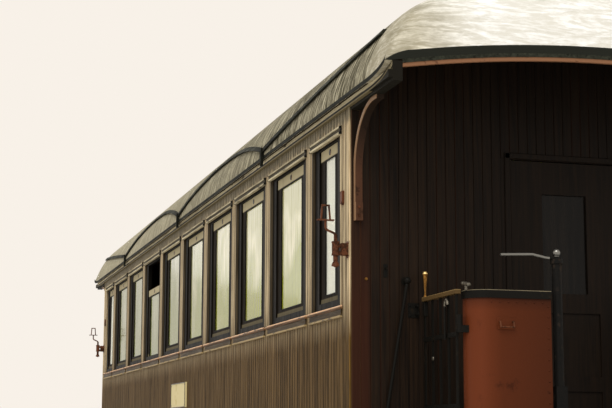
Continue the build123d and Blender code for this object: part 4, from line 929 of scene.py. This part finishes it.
bolt_handle = ((-0.02, 2.175), (-0.02, 2.19), (-0.012, 2.21), (0.006, 2.216), (0.02, 2.205), (0.024, 2.185))
for end, side, name in corners:
    bm = start()
    x, y, _ = at(end, side, 0.078, 0.96, 0.0)
    disc(bm, (x, y, 2.262), (0, 0, 1), 0.013, 0.012, 0.011)
    disc(bm, (x, y, 2.274), (0, 0, 1), 0.006, 0.03, 0.006)
    disc(bm, (x, y, 2.304), (0, 0, 1), 0.006, 0.09, 0.014)
    stud(bm, (x, y, 2.402), (0, 0, 1), 0.017, 0.02, 16)
    piece(f"gate_handle_{name}", bm, brass, f"gate_{name}", smooth=40)

    bm = start()
    for z in gate_rails:
        for k in range(5):
            stud(bm, at(end, side, 0.072 + k * 0.117, 0.9695, z), (0, side, 0), 0.006, 0.003)
    add_board(bm, 0.0, (x - 0.013, y - 0.012, 2.15), (x + 0.013, y + 0.012, 2.24), 0.003)
    disc(bm, at(end, side, 0.446, 0.978, 1.99), (0, 0, 1), 0.0075, 0.19)
    piece(f"gate_rivets_{name}", bm, platform_iron, f"gate_{name}", 40)

    bm = start()
    x, y, _ = at(end, side, 0.466, 0.978, 0.0)
    bar(bm, [(x + end * out, y, z) for out, z in bolt_handle], 0.0075)
    disc(bm, at(end, side, 0.223, 0.969, 1.893), (0, side, 0), 0.014, 0.006, 0.012)
    piece(f"gate_bolt_{name}", bm, polished, f"gate_{name}", smooth=50)

bm = start()
for end, side, _ in corners:
    for z in (2.165, 2.215):
        low, high = at(end, side, 0.002, 0.985, z - 0.006), at(end, side, 0.052, 0.999, z + 0.006)
        add_board(bm, 0.0, low, high, 0.002)
    add_board(bm, 0.0, at(end, side, 0.002, 0.975, 2.145), at(end, side, 0.008, 1.045, 2.235), 0.002)
    for z in (2.16, 2.22):
        stud(bm, at(end, side, 0.008, 1.03, z), (end, 0, 0), 0.007, 0.004)
piece("gate_keepers", bm, platform_iron, smooth=40)


# Dash trim: sheet edges rolled over a flange, riveted, with a loop handle hinged on its own plate.
# It is painted with the dash panels in terracotta, scratched where people lean.
dash_paint, tree = finish("terracotta_paint")
coat = use(tree, worn_iron, Scale=3.0, Share=0.4, Paint=tint(86, 40, 18), Bare=tint(66, 31, 15))
off_y = off(tree, "Y")
# Painted shade darkens the dash towards its middle and under the rail; a band of painted light runs near each
# outer corner.
hue = mixed(tree, level(tree, off_y, 0.8, 0.4, 0.0, 0.45), coat["Color"], tint(36, 17, 9))
hue = mixed(tree, level(tree, off_y, 0.74, 0.86, 0.0, 0.35), hue, tint(122, 60, 34))
hue = mixed(tree, level(tree, along(tree, "Z"), 2.14, 2.21, 0.0, 0.5), hue, tint(32, 17, 10))
surface(tree, hue, coat["Roughness"], coat["Height"], 0.0006, 0.7)
dress(dash_paint, "dash_panels")

dash_face, handle_foot = 6.1145, 6.118
dash_side_x, dash_side_y = 5.994, 0.9205
bm = start()
for end, side, _ in corners:
    for k in range(7):
        for z in (2.19, 1.262):
            stud(bm, (end * dash_face, side * (0.49 + k * 0.052), z), (end, 0, 0), 0.006, 0.003)
    for k in range(16):
        z = 1.27 + k * 0.06
        stud(bm, (end * dash_face, side * 0.458, z), (end, 0, 0), 0.006, 0.003)
        stud(bm, (end * dash_side_x, side * dash_side_y, z), (0, side, 0), 0.006, 0.003)
    add_board(bm, 0.0, (end * 6.114, side * 0.664, 2.035), (end * handle_foot, side * 0.77, 2.103), 0.0015)
piece("dash_rivets", bm, dash_paint, smooth=40)

bm = start()
half_loop = ((handle_foot, 0.0), (6.133, 0.0), (6.139, -0.03))
for end, side, _ in corners:
    y, z = side * 0.717, 2.078
    points = [(end * x, y - 0.04, z + rise) for x, rise in half_loop]
    points += [(end * x, y + 0.04, z + rise) for x, rise in reversed(half_loop)]
    bar(bm, points, 0.0045)
piece("dash_handles", bm, red_iron, smooth=50)

bm = start()
for end, side, _ in corners:
    x, y = end * 6.01, side * 0.925
    disc(bm, (x + end * 0.035, y, 2.254), (0, 0, 1), 0.008, 0.032)
    for reach, height in ((0.0, 2.298), (0.035, 2.292), (0.07, 2.286)):
        stud(bm, (x + end * reach, y, height), (end, 0, -0.17), 0.0135, 0.026, 14)
piece("dash_catches", bm, polished, smooth=50)


# End wall fittings: a ball on each hand bar, an iron hook and a brass eye beside it.
# Each is screwed to the end boards through a small plate or foot.
bm = start()
for end, side, _ in corners:
    stud(bm, at(end, side, 0.04, 1.059, 2.366), (0, 0, 1), 0.023, 0.023, 16)
    add_board(bm, 0.0, at(end, side, 0.003, 1.172, 2.385), at(end, side, 0.007, 1.198, 2.465), 0.001)
    hook = [at(end, side, out, 1.185, z) for out, z in ((0.006, 2.44), (0.03, 2.432), (0.034, 2.45))]
    bar(bm, hook, 0.005)
    for y, z in ((1.059, 2.364), (1.223, 1.4)):
        for turn in (-1, 1):
            stud(bm, (end * (half_body + 0.006), side * y + turn * 0.019, z), (end, 0, 0), 0.004, 0.003)
piece("end_fittings", bm, platform_iron, smooth=40)

bm = start()
for end, side, _ in corners:
    disc(bm, at(end, side, 0.003, 1.306, 2.372), (end, 0, 0), 0.011, 0.006, 0.008)
piece("brass_eyes", bm, brass, smooth=40)


# Enamel boards: a bare cream sheet in a thin rolled rim, held to each side by four screws.
# The rim and the screws are bare steel.
board_paint = iron("cream_enamel", tint(214, 198, 146), tint(196, 176, 122), 5.0, 0.4, 0.0004)
dress(board_paint, "side_boards")

rim, rim_half, rim_foot, rim_top = 0.008, 0.35, 1.7, 1.93
bm = start()
for side in (-1, 1):
    near, far = side * 1.4215, side * 1.426
    for z in (rim_foot, rim_top - rim):
        add_board(bm, 0.0, (-rim_half, near, z), (rim_half, far, z + rim), 0.0015, 0)
    for x in (-rim_half, rim_half - rim):
        add_board(bm, 0.0, (x, near, rim_foot), (x + rim, far, rim_top), 0.0015, 2)
    for x in (-0.325, 0.325):
        for z in (1.722, 1.908):
            stud(bm, (x, side * 1.422, z), (0, side, 0), 0.006, 0.0025)
piece("board_rims", bm, polished, smooth=40)


# Fastenings: nuts on the headstocks and knee brackets, rivets along the solebars and the lamp irons' plates.
# A nut is a round washer under a six-sided head.
def nut(bm, where, axis, size, height):
    disc(bm, where, axis, size * 0.72, height * 0.25, None, 12)
    disc(bm, Vector(where) + Vector(axis) * height * 0.2, axis, size * 0.58, height * 0.8, None, 6)


quarters = [pi / 4 + k * pi / 2 for k in range(4)]
buffer_y, buffer_z, buffer_ring = 0.875, 1.078, 0.128
buffer_plate, hook_plate, headstock_face, solebar_face = 6.2055, 6.2035, 6.1835, 1.0995
bm = start()
for end in (-1, 1):
    for y in (-buffer_y, buffer_y):
        for angle in quarters:
            across, up = buffer_ring * cos(angle), buffer_ring * sin(angle)
            nut(bm, (end * buffer_plate, y + across, buffer_z + up), (end, 0, 0), 0.022, 0.016)
    for y in (-0.095, 0.095):
        for z in (-0.07, 0.07):
            nut(bm, (end * hook_plate, y, buffer_z + z), (end, 0, 0), 0.02, 0.014)
    for y in (-0.6, -0.35, 0.35, 0.6):
        for z in (1.0, 1.14):
            nut(bm, (end * headstock_face, y, z), (end, 0, 0), 0.018, 0.012)
for side in (-1, 1):
    for k in range(45):
        for z in (1.158, 0.968):
            stud(bm, ((k - 22) * 0.24, side * solebar_face, z), (0, side, 0), 0.011, 0.007, 8)
piece("frame_bolts", bm, black_iron, smooth=40)

lamp_x = half_body - 0.042
bm = start()
for end, side, _ in corners:
    for z in (2.75, 2.8):
        nut(bm, at(end, side, 0.0335, 1.359, z), (end, 0, 0), 0.013, 0.01)
    for dx in (-0.026, 0.026):
        for z in (2.512, 2.588):
            stud(bm, (end * lamp_x + dx, side * 1.4075, z), (0, side, 0), 0.006, 0.004)
piece("bracket_bolts", bm, red_iron, smooth=40)


# Lamp iron castings: a ribbed barrel round each socket, bosses on its arms and a collar above the ball.
# They are cast in one with the lamp iron. A small clip sits on the corner post above each.
turned = (
    (2.5145, 0.0215, 0.08, None, 20),
    (2.5125, 0.0245, 0.009, 0.0225, 20),
    (2.588, 0.0245, 0.009, 0.0225, 20),
    (2.478, 0.014, 0.034, None, 16),
    (2.448, 0.0245, 0.016, 0.0215, 8),
    (2.598, 0.0105, 0.042, None, 14),
)
bm = start()
for end, side, _ in corners:
    def off_face(x, out, z):
        return x, side * (side_face + out), z

    x = end * lamp_x
    for z, radius, height, top, segments in turned:
        disc(bm, off_face(x, 0.084, z), (0, 0, 1), radius, height, top, segments)
    for z in (2.528, 2.572):
        disc(bm, off_face(x, 0.008, z), (0, side, 0), 0.019, 0.03, 0.0125, 16)
        disc(bm, off_face(x, 0.034, z), (0, side, 0), 0.0125, 0.035, 0.0125, 16)
    add_board(bm, 0.0, off_face(x - 0.015, 0.004, 2.512), off_face(x + 0.015, 0.052, 2.588), 0.004)
    x = end * (half_body - 0.14)
    add_board(bm, 0.0, off_face(x - 0.022, 0.003, 2.842), off_face(x + 0.022, 0.02, 2.922), 0.003)
piece("lamp_castings", bm, red_iron, smooth=40)


# Bogie fastenings: rivets along each frame plate and bolts in the axlebox lids.
# Brake gear: cast blocks hang from the frames by rods inside the wheels, and a beam joins each pair.
pivot_x, half_base, axle_z = 3.8, 0.9, 0.488
lid_ring, lid_face, frame_face = 0.064, 1.1335, 0.9735
block_reach, beam_z, hanger_top = 0.474, 0.48, 0.785
for name, end in (("near", 1), ("far", -1)):
    bm = start()
    for side in (-1, 1):
        for k in range(28):
            x = end * pivot_x + (k - 13.5) * 0.1
            stud(bm, (x, side * frame_face, 0.795), (0, side, 0), 0.011, 0.007, 8)
        for axle in (-half_base, half_base):
            for turn in (-1, 1):
                x = end * pivot_x + axle + turn * 0.156
                for z in (0.36, 0.44, 0.52, 0.6):
                    stud(bm, (x, side * frame_face, z), (0, side, 0), 0.011, 0.007, 8)
            for angle in quarters:
                x = end * pivot_x + axle + lid_ring * cos(angle)
                nut(bm, (x, side * lid_face, axle_z + lid_ring * sin(angle)), (0, side, 0), 0.013, 0.01)
    piece(f"bogie_rivets_{name}", bm, black_iron, f"bogie_{name}", 40)

    bm = start()
    for turn in (-1, 1):
        axle = end * pivot_x + turn * half_base
        for side in (-1, 1):
            def block_face(u, v):
                angle = radians(-24 + 48 * u)
                x = axle - turn * block_reach * cos(angle)
                return Vector((x, side * (0.735 + 0.07 * v), axle_z + block_reach * sin(angle)))

            sheet(bm, 8, 1, block_face, -0.045 * turn * side)
            x = axle - turn * 0.53
            bar(bm, [(x, side * 0.77, beam_z), (x, side * 0.77, hanger_top)], 0.014)
            bar(bm, [(x, side * 0.745, hanger_top), (x, side * 0.952, hanger_top)], 0.016)
        x = axle - turn * 0.545
        bar(bm, [(x, -0.79, beam_z), (x, 0.79, beam_z)], 0.02, 14)
    bmesh.ops.recalc_face_normals(bm, faces=bm.faces)
    piece(f"brake_gear_{name}", bm, wheel_steel, f"bogie_{name}", 40)


# Step nosings: a worn iron strip along the front edge of each tread, held by five screws.
# It is an angle, with one leg on the tread and one down its front.
tread_tops, nosing_in = (0.895, 0.562), 0.04
bm = start()
for end, side, _ in corners:
    for top in tread_tops:
        outer = (end * (half_roof - 0.066), side * 1.3915, top + 0.0025)
        add_board(bm, 0.0, at(end, side, nosing_in, 1.372, top - 0.001), outer, 0.001)
        add_board(bm, 0.0, at(end, side, nosing_in, 1.3885, top - 0.03), outer, 0.001)
        for k in range(5):
            stud(bm, at(end, side, 0.07 + k * 0.145, 1.38, top + 0.002), (0, 0, 1), 0.006, 0.002, 8)
piece("step_nosings", bm, black_iron, smooth=40)
